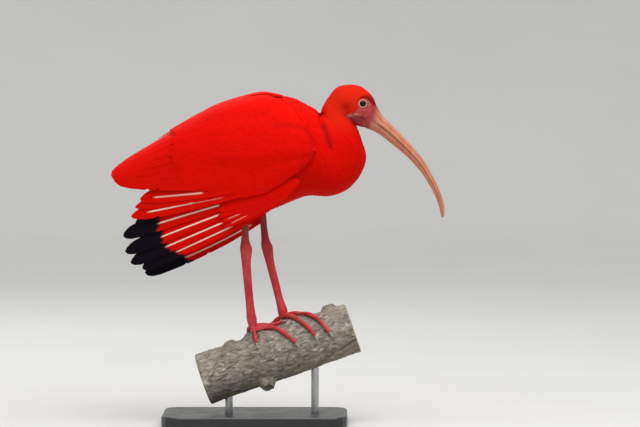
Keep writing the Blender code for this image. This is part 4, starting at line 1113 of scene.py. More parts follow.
def vane_piece(name, side, feathers, seed, finish, soften):
    """One coat piece of closed vanes on one wing."""
    draw = np.random.default_rng(seed)
    points, quads, along, tone, black, shaft, vane, bake, shift = [], [], [], [], [], [], [], [], 0
    down_at, under_at = [], []
    for f in feathers:
        top, bottom, about = vane_rows(side, f["root"], f["tip"], f["inner"], f["outer"], f["lifts"], f["tilt"],
                                       f["bow"], f["sink"], f["outline"], f["stations"], draw, f["level"])
        rows, columns = top.shape[:2]
        both = np.concatenate([top.reshape(-1, 3), bottom.reshape(-1, 3)])
        points.append(both)
        faces = plate_faces(rows, columns)
        quads.append((faces if side > 0 else faces[:, ::-1]) + shift)
        shift += len(both)
        s, beside = about["along"], about["beside"]
        ragged = 0.006 * np.sin(beside * 0.9 + 5 * draw.random())
        dark = ease(s + ragged + f["slant"] * np.maximum(beside, 0), f["black"] - 0.012, f["black"] + 0.016) \
            if f["black"] else np.zeros(s.shape)
        pale = np.zeros(s.shape)
        if f["shaft"]:
            pale = about["pale"] * f["shaft"][2] * ease(s, f["shaft"][0], f["shaft"][0] + 0.04) \
                * (1 - ease(s, f["shaft"][1] - 0.05, f["shaft"][1])) * (1 - dark)
        twice = lambda q: np.concatenate([q.ravel(), q.ravel()])
        under = np.concatenate([np.zeros(s.size), np.ones(s.size)])
        along.append(twice(0.75 + 0.25 * s))
        down_at.append(twice(about["down"]))
        under_at.append(under)
        tone.append(np.full(2 * s.size, draw.random()))
        black.append(twice(dark))
        shaft.append(twice(pale))
        vane.append(np.stack([twice(beside) / 10, twice(s) * about["length"] / 10 + draw.random() * 9], axis=-1))
        root = np.array([0.02 + 0.96 * (f["root"][0] - WING_X0) / 293, 0.02 + 0.96 * about["down"][0, 7] / WING_DOWN])
        bake.append(root + 0.003 * np.stack([twice(about["column"]) * 0.5, twice(s) - 0.5], axis=-1))
    made = mesh_piece(name, np.concatenate(points), np.concatenate(quads), None, finish)
    facing_out(made)
    for label, values in (("along", along), ("tone", tone), ("black", black), ("shaft", shaft)):
        point_value(made, label, np.concatenate(values))
    corner_map(made, "Vane", np.concatenate(vane))
    corner_map(made, "OFBake", np.concatenate(bake))
    place = points_of(made)
    own = normals_of(made)
    x = place[:, 0]
    downs = np.concatenate(down_at)
    _, ground = on_wing(side, x, downs, np.zeros(len(x)))
    way = np.where(np.concatenate(under_at) > 0.5, -1.0, 1.0)[:, None]
    soft = unit(own + soften * ground * way)
    made.data.normals_split_custom_set_from_vertices(soft.tolist())
    print(name, len(feathers), "vanes,", triangles(made), "triangles")
    return made


# %% The two wings' feathers
def arm_feathers():
    scapulars = tier([(36.0, 12.0), (16.0, 17.0), (-8.0, 20.0), (-26.0, 22.0)],
                     [(-56.0, 3.5), (-84.0, 4.0), (-104.0, 4.5), (-124.0, 5.0)], 9, ((4.4, 3.0), (5.8, 1.6)),
                     inner=8.5, outer=7.5, tilt=0.05, sink=4.5, outline="short", level=False)
    tertials = tier([(-50.0, 432.0), (-47.0, 404.0), (-42.0, 368.0), (-38.0, 341.0)],
                    [(-164.5, 369.5), (-177.0, 360.0), (-183.5, 351.0), (-178.0, 345.5)], 8,
                    ((2.8, 2.4), (9.2, 5.2)), inner=11.0, outer=9.0, tilt=0.125, sink=4.0)
    secondaries = [
        vane((-37.0, 342.0), (-134.0, 334.8), 12.0, 7.0, (9.2, 3.4), tilt=0.12, sink=2.0),
        vane((-28.0, 333.6), (-147.0, 321.4), 12.0, 7.0, (8.9, 3.3), tilt=0.12, shaft=(0.30, 0.86, 0.7)),
        vane((-22.0, 331.4), (-153.5, 310.6), 11.0, 5.5, (8.5, 3.1), tilt=0.12),
        vane((-16.0, 329.9), (-158.6, 299.4), 10.0, 8.5, (8.2, 2.8), tilt=0.12, shaft=(0.15, 0.86, 1.0)),
    ]
    return secondaries + tertials + scapulars


NEAR_TIPS = ((-154.0, 289.5), (-169.9, 274.0), (-167.4, 253.0), (-160.6, 238.6), (-145.6, 231.4))
FAR_TIPS = ((-140.0, 289.0), (-150.0, 273.0), (-151.0, 256.0), (-147.0, 241.0), (-143.9, 223.5))


def hand_feathers(tips, low):
    """The primaries and their coverts. The low share brings the far wing's lowest one down."""
    primaries = [
        vane((2.0, 332.5), tips[0], 10.2, 3.4, (3.6, 1.3), black=0.79, slant=0.001),
        vane((8.0, 328.2), tips[1], 10.2, 9.8, (3.0, 0.8), bow=-1.6, black=0.728, slant=0.001, shaft=(0.27, 1.0, 1.0)),
        vane((10.0, 322.2), tips[2], 10.2, 9.8, (2.4, 0.4), bow=-0.6, black=0.722, slant=0.0035, shaft=(0.28, 1.0, 1.0)),
        vane((11.0, 313.2), tips[3], 10.2, 9.8, (1.6, 0.0), bow=-0.3, black=0.722, slant=0.0075, shaft=(0.27, 1.0, 1.0)),
        vane((12.0, 305.0 - 10.0 * low), tips[4], 10.2, 9.2, (0.8, -0.4), bow=6.0 * low, black=0.715 - 0.05 * low,
             slant=0.0105, shaft=(0.25 - 0.15 * low, 1.0, 1.0)),
    ]
    for primary in primaries:
        primary.update(tilt=0.085, outline="pointed", stations=60)
    coverts = tier([(36.0, 337.0), (38.0, 332.0), (41.0, 327.0)],
                   [(-40.3, 320.0), (-46.5, 309.0), (-45.5, 297.0), (-37.7, 286.0)], 6, ((5.6, 4.8), (5.9, 4.6)),
                   inner=6.5, outer=5.5, tilt=0.09, sink=1.0, outline="short", stations=34)
    for covert in coverts[4:]:
        covert["shaft"] = (0.60, 0.90, 0.28)
    return primaries + coverts


wings = []
for word, side, tips, low in (("right", -1, NEAR_TIPS, 0.0), ("left", 1, FAR_TIPS, 1.0)):
    wings.append(vane_piece(f"vanes_arm_{word}", side, arm_feathers(), 120 + side, VANES, 1.7))
    wings.append(vane_piece(f"vanes_hand_{word}", side, hand_feathers(tips, low), 130 + side, VANES, 1.3))

# %% The hands and the tail
HAND_PATH = ((57.0, 345.0, 6.0), (40.0, 335.5, 10.5), (20.0, 322.0, 13.0), (0.0, 311.0, 14.0),
             (-18.0, 304.0, 13.5), (-32.0, 299.0, 11.0))


def hand_grid(side, drop, inset):
    rows = evenly(HAND_PATH, 60)
    rows[:, 2] *= np.sqrt(np.clip(1 - (1 - (np.arange(60) + 0.6) / 12) ** 2, 0, 1) ** (np.arange(60) < 12))
    ends = 0.45 + 0.55 * np.sin(math.pi * (np.arange(60) + 0.5) / 60)
    angles = full_turn(40)
    grid = []
    for k, (x, z, width) in enumerate(rows):
        middle = down_to(x, z) + drop * 0.3
        lift = 3.6 + (2.5 * ends[k] - inset) * np.sin(angles)
        grid.append(on_wing(side, x + 0.25 * width * np.cos(angles), middle + (width - inset) * np.cos(angles), lift)[0])
    return np.array(grid)


for word, side, drop in (("right", -1, 0.0), ("left", 1, 9.0)):
    hand = tube_piece(f"hand_{word}", hand_grid(side, drop, 0.6), COAT)
    joined(skin, [hand])
    ground = Surface(hand_grid(side, drop, 0.0), closed=True)
    k = int(np.abs(ground.grid[30, :, 1] * side).argmax())
    if ground.normal[30, k, 1] * side < 0:
        ground = Surface(ground.grid, closed=True, flip=True)

    def on_hand(points, side=side, ground=ground):
        outward = ground.normal[..., 1] * side + 0.35
        return np.minimum(outward, points[..., 0] + 10) if points.shape[:2] == ground.grid.shape[:2] else 1.0

    flow = ground
    u, v, roots = scatter(flow, lambda p: np.full(p.shape[:-1], 3.6), on_hand, 141 + side)
    draw = np.random.default_rng(143 + side)
    coats.append(lay(f"coat_hand_{word}", flow, u, v, 12.0, 5.6, (-0.4, 0.5), turn=math.pi + draw.normal(0, 0.08, len(u)),
                     seed=145 + side, finish=COAT,
                     unwrap=lambda u, v: np.stack([0.02 + 0.96 * u / 60, 0.02 + 0.96 * np.mod(v, 40) / 40], axis=-1)))

TAIL_ROOT, TAIL_LENGTH, TAIL_SLOPE = (-110.8, 375.2), 58.0, math.radians(24.0)
tail_run = np.array([-math.cos(TAIL_SLOPE), 0, -math.sin(TAIL_SLOPE)])
tail_up = np.array([-math.sin(TAIL_SLOPE), 0, math.cos(TAIL_SLOPE)])


def tail_place(out, across, lift):
    out, across, lift = np.broadcast_arrays(np.asarray(out, float), across, lift)
    arch = -0.006 * across * across
    return (np.array([TAIL_ROOT[0], 0, TAIL_ROOT[1]]) + out[..., None] * tail_run
            + across[..., None] * np.array([0, 1.0, 0]) + (lift + arch)[..., None] * tail_up)


rings = []
for out, width, high in evenly(((0.3, 15.0, 11.0), (8.0, 13.0, 8.0), (17.0, 11.0, 4.6), (24.0, 9.0, 2.4)), 20):
    a = full_turn(36)
    rings.append(tail_place(out, (width - 0.5) * np.cos(a), (high - 0.5) * np.sin(a) - 1.0))
tail = tube_piece("tail_core", np.array(rings), VANES)
points, quads, shift, tone, along, vane, bake = [], [], 0, [], [], [], []
draw = np.random.default_rng(150)
for k in range(-5, 6):
    s = np.linspace(0, 1, 40)[:, None]
    keys = np.array(OUTLINES["long"])
    c = VANE_COLUMNS[None, :]
    offset = c * 4.6 * np.interp(s, keys[:, 0], keys[:, 1])
    middle = (1.35 + (3.05 - 1.35) * s) * k
    lift = 2.6 - 0.75 * abs(k) - 0.04 * np.abs(offset) + 0.35 * np.exp(-(offset / 0.6) ** 2)
    out = 8.0 + (TAIL_LENGTH - 0.6 * abs(k) - 8.0) * s
    top, bottom = tail_place(out, middle + offset, lift + 0.6), tail_place(out, middle + offset, lift + 0.25)
    points += [top.reshape(-1, 3), bottom.reshape(-1, 3)]
    quads.append(plate_faces(40, c.shape[1]) + shift)
    shift += 2 * offset.size
    tone.append(np.full(2 * offset.size, draw.random()))
    both = lambda q: np.tile(np.broadcast_to(q, offset.shape).ravel(), 2)
    along.append(both(0.8 + 0.2 * s))
    vane.append(np.stack([both(offset) / 10, both(s) * 5 + k], axis=-1))
    bake.append(np.array([0.5 + 0.08 * k, 0.5]) + 0.003 * np.stack([both(c) * 0.5, both(s) - 0.5], axis=-1))
rectrices = mesh_piece("vanes_tail", np.concatenate(points), np.concatenate(quads), None, VANES)
facing_out(rectrices)
point_value(rectrices, "tone", np.concatenate(tone))
point_value(rectrices, "along", np.concatenate(along))
corner_map(rectrices, "Vane", np.concatenate(vane))
corner_map(rectrices, "OFBake", np.concatenate(bake))
print("tail:", triangles(rectrices), "triangles")

# %% The skin's markings
SKIN, b, shader = finish_of("skin", Specular_IOR_Level=0.12)
plumage = b.put("Group", {"node_tree": PLUMAGE})
place = b.put("TexCoord").outputs["Object"]
bare = b.value("bare")
fine = b.noise(place, 420.0, 4.0, 0.6)
blotch = b.ramp(b.noise(place, 130.0, 3.0), 0.3, 0.7)
mottle = b.ramp(b.noise(place, 330.0, 4.0, 0.6), 0.36, 0.62)
face = b.mix(blotch, (0.27, 0.020, 0.030, 1), (0.44, 0.070, 0.062, 1))
face = b.mix(b.math("MULTIPLY", b.value("duskiness"), 0.8), face, (0.125, 0.008, 0.018, 1))
face = b.mix(b.math("MULTIPLY", b.value("paleness"), b.ramp(mottle, 0, 1, 0.35, 1.0)), face, (0.60, 0.22, 0.16, 1))
b.give(shader, "Base_Color", b.mix(bare, plumage.outputs["Color"], face))
b.give(shader, "Roughness", b.ramp(bare, 0, 1, 0.7, 0.48))
bumped(b, shader, fine, 0.00025)
skin.data.materials.clear()
skin.data.materials.append(SKIN)
spots = points_of(skin)
depth_in = bare_face(spots) * (spots[:, 0] > 112) * (spots[:, 2] > 400) - 9.0 * (spots[:, 0] <= 112)
bare = ease(depth_in, -0.2, 1.0)
flat = spots[:, [0, 2]]
warm, maroon = markings(spots)
point_value(skin, "bare", bare)
point_value(skin, "warm", warm)
point_value(skin, "maroon", maroon)
# The skin counts as a feather's root here, so the painted root shade darkens it a little.
point_value(skin, "along", np.full(len(spots), 0.3))
point_value(skin, "tone", np.full(len(spots), 0.6))
# Soft patches of the face: their strength, half width and line.
PALE = ((1.0, 1.9, ((119.5, 430.0), (126.0, 428.6), (132.0, 430.4))),
        (0.40, 2.2, ((133.5, 436.0), (141.0, 436.2))), (0.60, 2.4, ((145.5, 448.0), (147.2, 442.5))),
        (0.30, 1.8, ((141.0, 415.8), (146.0, 416.8))))
DUSKY = ((1.0, 3.2, ((122.5, 425.0), (128.0, 420.0), (134.2, 415.4), (139.5, 413.5))),
         (0.62, 3.6, ((132.0, 423.5), (141.5, 424.0))), (0.50, 2.6, ((152.5, 441.5), (155.5, 434.5))),
         (0.55, 0.9, MOUTH_CORNER))


def patches(rows):
    total = sum(strong * np.exp(-(to_line(flat, np.array(line)) / half) ** 2) for strong, half, line in rows)
    return total * (0.85 + 0.4 * waves(spots, 2.2, 151))


to_bill = to_line(flat, np.array([(158.3, 440.6), (144.1, 411.9)]))
point_value(skin, "paleness", np.clip(patches(PALE), 0, 1))
point_value(skin, "duskiness", np.clip(patches(DUSKY) * ease(to_bill, 0.5, 5.0), 0, 1))
angle = np.arctan2(spots[:, 1], spots[:, 2] - 380)
corner_map(skin, "OFBake", np.stack([0.5 + angle / 6.4, 0.02 + 0.96 * (spots[:, 0] + 125) / 300], axis=-1))
skin.data.shade_smooth()
print("skin:", triangles(skin), "triangles")

# %% [markdown]
# ## Eyes and lids
# The eye decides whether a bird looks alive. It is a ball with a bulge for the cornea, sunk in
# the head, with a dark brown iris and a black pupil under a clear, wet coat. Round it lies a
# ring of bare, pale skin: the two lids, rolled over at their edge, with fine folds that run
# round the eye. The ring is a closed body of many thin rings of points whose outer skirt
# follows the head.

# %% Eyeballs
def eye_axes(side):
    middle, out = EYES[side]
    ahead = unit(np.cross(np.array([0.0, 0, 1.0]), out))
    return middle, out, ahead, unit(np.cross(out, ahead))


EYE, b, shader = finish_of("eye_ball", Roughness=0.4, Coat_Weight=0.28, Coat_Roughness=0.02,
                           Specular_IOR_Level=0.05)
off, turn = b.value("from_axis"), b.value("turn")
streak = b.noise(b.put("CombineXYZ", None, X=b.math("MULTIPLY", off, 0.15), Y=b.math("MULTIPLY", turn, 2.2)).outputs[0],
                 6.0, 4.0)
iris = b.mix(streak, (0.006, 0.0025, 0.0015, 1), (0.030, 0.011, 0.005, 1))
iris = b.mix(b.ramp(off, 3.1, 3.9), iris, (0.008, 0.004, 0.003, 1))
b.give(shader, "Base_Color", b.mix(b.ramp(off, 2.05, 2.3), (0.002, 0.002, 0.002, 1), iris))

LIDS, b, shader = finish_of("eye_lids", Specular_IOR_Level=0.35)
place = b.put("TexCoord").outputs["Object"]
pink = b.mix(b.ramp(b.noise(place, 700.0, 3.0), 0.35, 0.7), (0.50, 0.16, 0.105, 1), (0.64, 0.26, 0.18, 1))
pink = b.mix(b.value("outer"), pink, (0.36, 0.040, 0.040, 1))
b.give(shader, "Base_Color", b.mix(b.value("rim"), pink, (0.16, 0.035, 0.03, 1)))
b.give(shader, "Roughness", b.ramp(b.noise(place, 300.0, 2.0), 0, 1, 0.35, 0.55))
bumped(b, shader, b.noise(place, 900.0, 3.0), 0.00018)

eyes, lids = [], []
for word, side in (("right", -1), ("left", 1)):
    middle, out, ahead, up = eye_axes(side)
    tilt = np.linspace(0.02, math.pi - 0.02, 60)
    turns = full_turn(72)
    radius = EYE_RADIUS - 0.12 + 0.32 * np.exp(-(tilt / 0.62) ** 4)
    across = radius * np.sin(tilt)
    ball = (middle + (radius * np.cos(tilt))[:, None, None] * out
            + across[:, None, None] * (np.cos(turns)[None, :, None] * ahead + np.sin(turns)[None, :, None] * up))
    eye = tube_piece(f"eyeball_{word}", ball, EYE)
    point_value(eye, "from_axis", np.append(np.repeat(np.where(tilt < 1.6, across, 6.0), 72), [0.0, 6.0]))
    point_value(eye, "turn", np.append(np.tile(np.sin(turns * 2), 60), [0.0, 0.0]))
    eyes.append(eye)

# %% Lids
def head_height(side, spots):
    """How far the head's outside lies from the eye's middle plane, along the eye's axis."""
    middle, out, _, _ = eye_axes(side)
    grid = body_form.grid[230:, :]
    near = grid[(np.abs(grid[..., 0] - 139.5) < 16) & (np.abs(grid[..., 2] - 443.7) < 16) & (grid[..., 1] * side > 0)]
    rel = near - middle
    high = rel @ out
    flat = rel - high[:, None] * out
    target = spots - middle
    target = target - (target @ out)[..., None] * out
    heights = []
    for row in target:
        d = np.linalg.norm(flat - row[:, None], axis=-1)
        best = np.argpartition(d, 4)[:, :4]
        w = 1 / (np.take_along_axis(d, best, 1) + 0.4)
        heights.append((high[best] * w).sum(1) / w.sum(1))
    return np.array(heights)


PROFILE = np.array([  # distance from the axis, height over the eye's middle, for the rolled lid
    (4.35, 2.7), (4.02, 3.25), (3.98, 3.62), (4.10, 3.92), (4.38, 4.10), (4.75, 4.12), (5.10, 3.98), (5.45, 3.78),
    (5.8, 3.62), (6.2, 3.5), (6.7, 3.4), (7.3, 3.3), (8.0, 3.1), (8.6, 2.9)])
for word, side in (("right", -1), ("left", 1)):
    middle, out, ahead, up = eye_axes(side)
    rows = evenly(PROFILE, 40)
    turns = full_turn(144)
    oval = 1 + 0.035 * np.cos(2 * turns) - 0.02 * np.sin(turns)
    reach = rows[:, 0][:, None] * (1 + (oval - 1) * 1.0)[None, :]
    flat = middle + reach[..., None] * (np.cos(turns)[None, :, None] * ahead + np.sin(turns)[None, :, None] * up)
    ground = head_height(side, flat)
    blend = ease(rows[:, 0], 5.1, 7.4)[:, None]
    wrinkle = (0.10 * np.sin(rows[:, 0] * 2 * math.pi / 0.95)[:, None] * ease(rows[:, 0], 4.8, 5.6)[:, None]
               + 0.07 * np.sin(turns * 23 + 3 * np.sin(turns * 3))[None, :] * ease(rows[:, 0], 4.3, 5.2)[:, None]
               * (1 - ease(rows[:, 0], 6.6, 7.6))[:, None])
    sink = 1.1 * ease(rows[:, 0], 6.3, 7.4)[:, None]
    height = rows[:, 1][:, None] * (1 - blend) + (ground + 0.25) * blend + wrinkle - sink
    corner = 0.35 * np.exp(-((np.mod(turns + math.pi, 2 * math.pi) - math.pi) / 0.35) ** 2)
    height -= corner[None, :] * np.exp(-((rows[:, 0] - 4.4) / 0.8) ** 2)[:, None]
    top = flat + height[..., None] * out
    under = flat[::-6] + (np.minimum(height[::-6], 2.6) - 0.8)[..., None] * out
    ring_grid = np.concatenate([top, under], axis=0)
    rows_n, sides_n = ring_grid.shape[:2]
    i, j = np.meshgrid(np.arange(rows_n), np.arange(sides_n), indexing="ij")
    i2, j2 = (i + 1) % rows_n, (j + 1) % sides_n
    quads = np.stack([i * sides_n + j, i * sides_n + j2, i2 * sides_n + j2, i2 * sides_n + j], axis=-1).reshape(-1, 4)
    lid = mesh_piece(f"lids_{word}", ring_grid, quads, None, LIDS)
    facing_out(lid)
    far = np.concatenate([rows[:, 0], rows[::-6, 0]])
    point_value(lid, "outer", np.repeat(ease(far, 5.2, 6.2), sides_n))
    point_value(lid, "rim", np.repeat(0.75 * (1 - ease(far, 4.05, 4.3)), sides_n))
    lids.append(lid)
print("lids:", triangles(lids[0]), "eye:", triangles(eyes[0]))

# %% [markdown]
# ## The bill
# The bill is horn over bone, long and bent, a little rough at its base. Both halves are lofted
# through the solids' sections, far finer. Two things make it read as a bill: the dark line of
# the mouth, and the long groove that runs on the upper half from the nostril to the tip, with
# a fainter one below. They are pressed into the points, so that light catches them, and the
# finish darkens the grooves, the nostril and the mouth's line further with painted shade.

# %% The bill's two halves
BILL = (
    (158.3, 440.6, 144.1, 411.9, 9.6, 0.56), (166.4, 427.2, 153.4, 408.2, 7.6, 0.55),
    (175.5, 418.3, 164.2, 401.9, 6.4, 0.54), (189.8, 404.2, 178.5, 390.6, 5.5, 0.54),
    (204.4, 388.3, 193.1, 378.8, 4.9, 0.54), (216.8, 373.7, 206.3, 365.7, 4.4, 0.54),
    (227.1, 357.2, 217.9, 351.6, 4.0, 0.54), (236.5, 338.7, 228.1, 335.4, 3.6, 0.54),
    (242.7, 323.9, 234.9, 321.8, 3.3, 0.54), (246.2, 309.9, 239.4, 308.9, 2.9, 0.54),
    (246.2, 300.2, 241.4, 299.6, 2.2, 0.54), (244.8, 296.2, 242.6, 295.9, 1.1, 0.54),
)
BILL_STEPS, BILL_SIDES = 340, 41


def bill_half(upper):
    t = np.linspace(0, len(BILL) - 1, BILL_STEPS)
    row = rows_at(BILL, t)[:, None, :]
    a = np.linspace(-math.pi / 2, math.pi / 2, BILL_SIDES)[None, :] + (0 if upper else math.pi)
    c, s = np.cos(a), np.sin(a)
    share = np.where(c > 0, row[..., 5] * (1 - c), row[..., 5] - (1 - row[..., 5]) * c)
    dorsal, ventral = row[..., [0, 1]], row[..., [2, 3]]
    run = ventral - dorsal
    flat = dorsal + run * share[..., None]
    across = row[..., 4] * s
    off = np.broadcast_to(np.arccos(np.clip(np.abs(c), 0, 1)), across.shape)
    size = ease(t, 0.2, 1.2)[:, None] * (1 - ease(t, 9.6, 10.9))[:, None]
    groove_at = 0.98 if upper else 0.93
    groove = (0.42 if upper else 0.24) * size * np.exp(-((off - groove_at) / 0.10) ** 2) * np.minimum(row[..., 4] / 6, 1)
    lip = 0.16 * np.exp(-((off - 1.36) / 0.10) ** 2) * size
    base = (1 - ease(t, 0.2, 1.9))[:, None]
    points = np.stack([flat[..., 0], across, flat[..., 1]], axis=-1)
    rough = base * (0.16 * waves(points, 2.6, 61) + 0.10 * np.sin(t * 26 + 2 * np.sin(t * 5))[:, None])
    long_lines = 0.035 * np.sin(off * 34 + 1.5 * waves(points, 30.0, 62)) * size
    nostril = 0.0
    if upper:
        along_mm = np.interp(t, [0.25, 1.15], [-1, 1])[:, None]
        nostril = 1.0 * np.exp(-((off - 0.92) / 0.085) ** 2 - np.abs(along_mm) ** 4 * 1.2)
    middle = np.stack([flat.mean(axis=1)[:, 0], np.zeros(BILL_STEPS), flat.mean(axis=1)[:, 1]], axis=-1)[:, None]
    outward = unit(points - middle)
    points = points + outward * (rough + long_lines + lip - groove - nostril)[..., None]
    if not upper:
        shift = unit(np.stack([run[..., 0], 0 * run[..., 0], run[..., 1]], axis=-1))
        points = points - shift * 0.12
    points[0] = middle[0] + (points[0] - middle[0]) * 0.9 - np.array([1.7, 0, -1.4])
    # groove and mouth mark where the finish paints shade: the grooves, the nostril and the mouth's line.
    values = {"groove": np.broadcast_to(groove / 0.42 + np.asarray(nostril), off.shape),
              "mouth": np.broadcast_to(np.exp(-((off - math.pi / 2) / 0.13) ** 2) * (0.35 + 0.65 * ease(t, 0.3, 1.5))[:, None], off.shape),
              "travel": np.broadcast_to((t / (len(BILL) - 1))[:, None], off.shape)}
    return points, values


HORN, b, shader = finish_of("bill_horn", Specular_IOR_Level=0.35)
place = b.put("TexCoord").outputs["Object"]
travel = b.value("travel")
streaks = b.noise(b.stretched(place, (1.0, 1.0, 0.25), (0, -0.75, 0)), 260.0, 4.0, 0.6)
horn = b.mix(b.ramp(streaks, 0.3, 0.72), (0.45, 0.140, 0.072, 1), (0.62, 0.235, 0.130, 1))
horn = b.mix(b.ramp(b.noise(place, 90.0, 3.0), 0.42, 0.75, 0, 0.55), horn, (0.56, 0.27, 0.165, 1))
seam = b.math("ADD", travel, b.math("MULTIPLY", b.noise(place, 240.0, 3.0), -0.045))
horn = b.mix(b.ramp(seam, 0.045, -0.012, 0, 0.95), horn, (0.34, 0.035, 0.040, 1))
horn = b.mix(b.ramp(travel, 0.80, 1.0, 0, 0.45), horn, (0.56, 0.36, 0.27, 1))
# Painted shade: the grooves and the nostril are darkened in the colour.
horn = b.mix(b.math("MULTIPLY", b.value("groove"), 0.42, clamp=True), horn, (0.24, 0.065, 0.035, 1))
# Painted shade: the mouth's line between the two halves is darkened.
horn = b.mix(b.math("MULTIPLY", b.value("mouth"), 0.92, clamp=True), horn, (0.075, 0.018, 0.012, 1))
b.give(shader, "Base_Color", horn)
b.give(shader, "Roughness", b.ramp(streaks, 0.2, 0.8, 0.38, 0.58))
bumped(b, shader, streaks, 0.00020)
bills = []
for name, upper in (("bill_upper_fine", True), ("bill_lower_fine", False)):
    grid, values = bill_half(upper)
    piece = tube_piece(name, grid, HORN)
    for label, value in values.items():
        point_value(piece, label, np.append(value.ravel(), [value[0, 0], value[-1, 0]]))
    piece.data.set_sharp_from_angle(angle=math.radians(60))
    bills.append(piece)
print("bill:", [triangles(p) for p in bills])

# %% [markdown]
# ## Legs and feet
# A wader's leg is skin and scales over bone and sinew. The front of the shank and the tops of
# the toes carry broad plates across, and the rest is a mesh of small rounded scales. The limb
# is lofted and its toes are tubes; a voxel remesh melts them into one body with soft joints,
# and then each point is pushed in or out by the scale that it lies on.

# %% The branch's form
BRANCH_MIDDLE, BRANCH_RISE, BRANCH_RADIUS = (32.5, 119.6), math.radians(19.0), 34.0
BRANCH_ENDS = (-106.0, 100.0)
RISE = np.array([math.cos(BRANCH_RISE), 0, math.sin(BRANCH_RISE)])
OVER = np.array([-math.sin(BRANCH_RISE), 0, math.cos(BRANCH_RISE)])


def bark(along, angle, height=0.0):
    """Points over the bark: the distance along the branch, the angle from its top towards the
    bird's right, and the height over the bark."""
    along, angle, height = np.broadcast_arrays(np.asarray(along, float), angle, height)
    radius = BRANCH_RADIUS * (1 + 0.018 * np.sin(0.045 * along + 1.0)
                              + 0.012 * np.sin(3 * angle + 0.03 * along)) + height
    middle = np.array([BRANCH_MIDDLE[0], 0, BRANCH_MIDDLE[1]]) + along[..., None] * RISE
    middle = middle - (0.0006 * np.maximum(np.abs(along) - 75.0, 0.0) ** 2)[..., None] * OVER
    return (middle + (radius * np.cos(angle))[..., None] * OVER
            - (radius * np.sin(angle))[..., None] * np.array([0, 1.0, 0]))


# %% Legs, toes and claws
LEGS = {
    "right": ((-12.4, -25.0, 297.0, 4.6, 3.9), (-12.2, -24.4, 280.0, 4.4, 3.7), (-12.2, -23.4, 266.0, 5.6, 4.6),
              (-11.2, -22.8, 257.0, 7.8, 5.8), (-11.0, -22.2, 249.0, 7.2, 5.4), (-11.0, -21.4, 238.0, 6.0, 4.4),
              (-9.2, -19.0, 215.0, 5.5, 4.0), (-6.8, -16.0, 188.0, 5.3, 3.9), (-5.0, -13.6, 171.5, 6.0, 4.8),
              (-4.2, -12.5, 165.0, 6.6, 5.4)),
    "left": ((9.4, 25.0, 302.0, 4.6, 3.9), (11.2, 24.2, 282.0, 4.4, 3.7), (13.0, 23.0, 267.0, 5.4, 4.6),
             (15.0, 22.0, 257.5, 7.4, 5.8), (16.6, 21.0, 249.0, 6.9, 5.4), (18.8, 20.0, 238.0, 5.8, 4.4),
             (25.2, 16.0, 213.0, 5.4, 4.0), (31.2, 12.0, 190.0, 5.3, 3.9), (33.9, 10.4, 181.0, 6.0, 4.8),
             (35.6, 9.4, 174.4, 6.6, 5.4)),
}
FEET = {
    "right": {"hub": (-21.5, 14.0, 13.6),
              "outer": ((-22.0, 25.0, 9.5), (-22.6, 37.0, 3.8), (-23.4, 50.0, 3.1)),
              "middle": ((-8.5, 17.0, 6.5), (6.0, 30.0, 3.6), (17.5, 57.0, 3.1), (24.0, 77.0, 3.1)),
              "inner": ((-9.0, 9.0, 8.0), (4.0, 7.0, 3.6), (15.5, 6.0, 3.1)),
              "hallux": ((-28.0, 0.0, 9.0), (-32.0, -18.0, 3.8), (-34.0, -34.0, 3.1))},
    "left": {"hub": (19.0, -12.0, 9.6),
             "outer": ((30.0, -20.0, 7.0), (42.0, -27.0, 3.6), (56.0, -34.0, 3.1)),
             "middle": ((31.0, -3.0, 8.6), (45.0, 4.0, 4.6), (60.0, 38.0, 3.2), (70.0, 78.0, 3.1)),
             "inner": ((28.0, 4.0, 6.6), (40.0, 36.0, 3.8), (48.0, 60.0, 3.1), (51.0, 76.0, 3.1)),
             "hallux": ((10.0, -15.0, 8.6), (-1.0, -15.0, 4.4), (-9.0, -13.0, 3.1))},
}
TOES = ("outer", "middle", "inner", "hallux")
TOE_RADIUS, CLAW_LENGTH, GAP = 2.8, 7.5, 0.3


def toe_path(foot, toe, count=60):
    stops = evenly([FEET[foot]["hub"], *FEET[foot][toe]], count)
    return bark(stops[:, 0], np.radians(stops[:, 1]), stops[:, 2])


def tube_rings(path, radii, sides=24, flatten=1.0):
    """Rings of a tube along a path, kept from twisting."""
    path, rings = np.asarray(path, float), []
    runs = unit(np.gradient(path, axis=0))
    side = unit(np.cross(runs[0], [0.3, 0.2, 1.0]))
    a = full_turn(sides)
    for point, run, radius in zip(path, runs, radii):
        side = unit(side - run * (side @ run))
        other = np.cross(run, side)
        rings.append(point + radius * (np.cos(a)[:, None] * side + flatten * np.sin(a)[:, None] * other))
    return np.array(rings)


def toe_radii(count=60):
    shares = np.linspace(0, 1, count)
    return TOE_RADIUS * (1.10 - 0.28 * shares + 0.10 * np.cos(shares * 6 * math.pi))


def web_body(foot):
    outer, middle = toe_path(foot, "outer"), toe_path(foot, "middle")
    rows = []
    for k in np.linspace(0, 23, 14).astype(int):
        a, c = outer[k], middle[k]
        share = np.linspace(0, 1, 9)[:, None]
        pull = 0.12 * np.sin(math.pi * share) * ((outer[max(k - 8, 0)] + middle[max(k - 8, 0)]) / 2 - (a + c) / 2)
        rows.append(a + (c - a) * share + pull)
    rows = np.array(rows)
    up = np.array([0, -0.35, 0.9]) * 0.75
    return tube_piece("web", np.concatenate([rows + up, rows[:, ::-1] - up], axis=1))


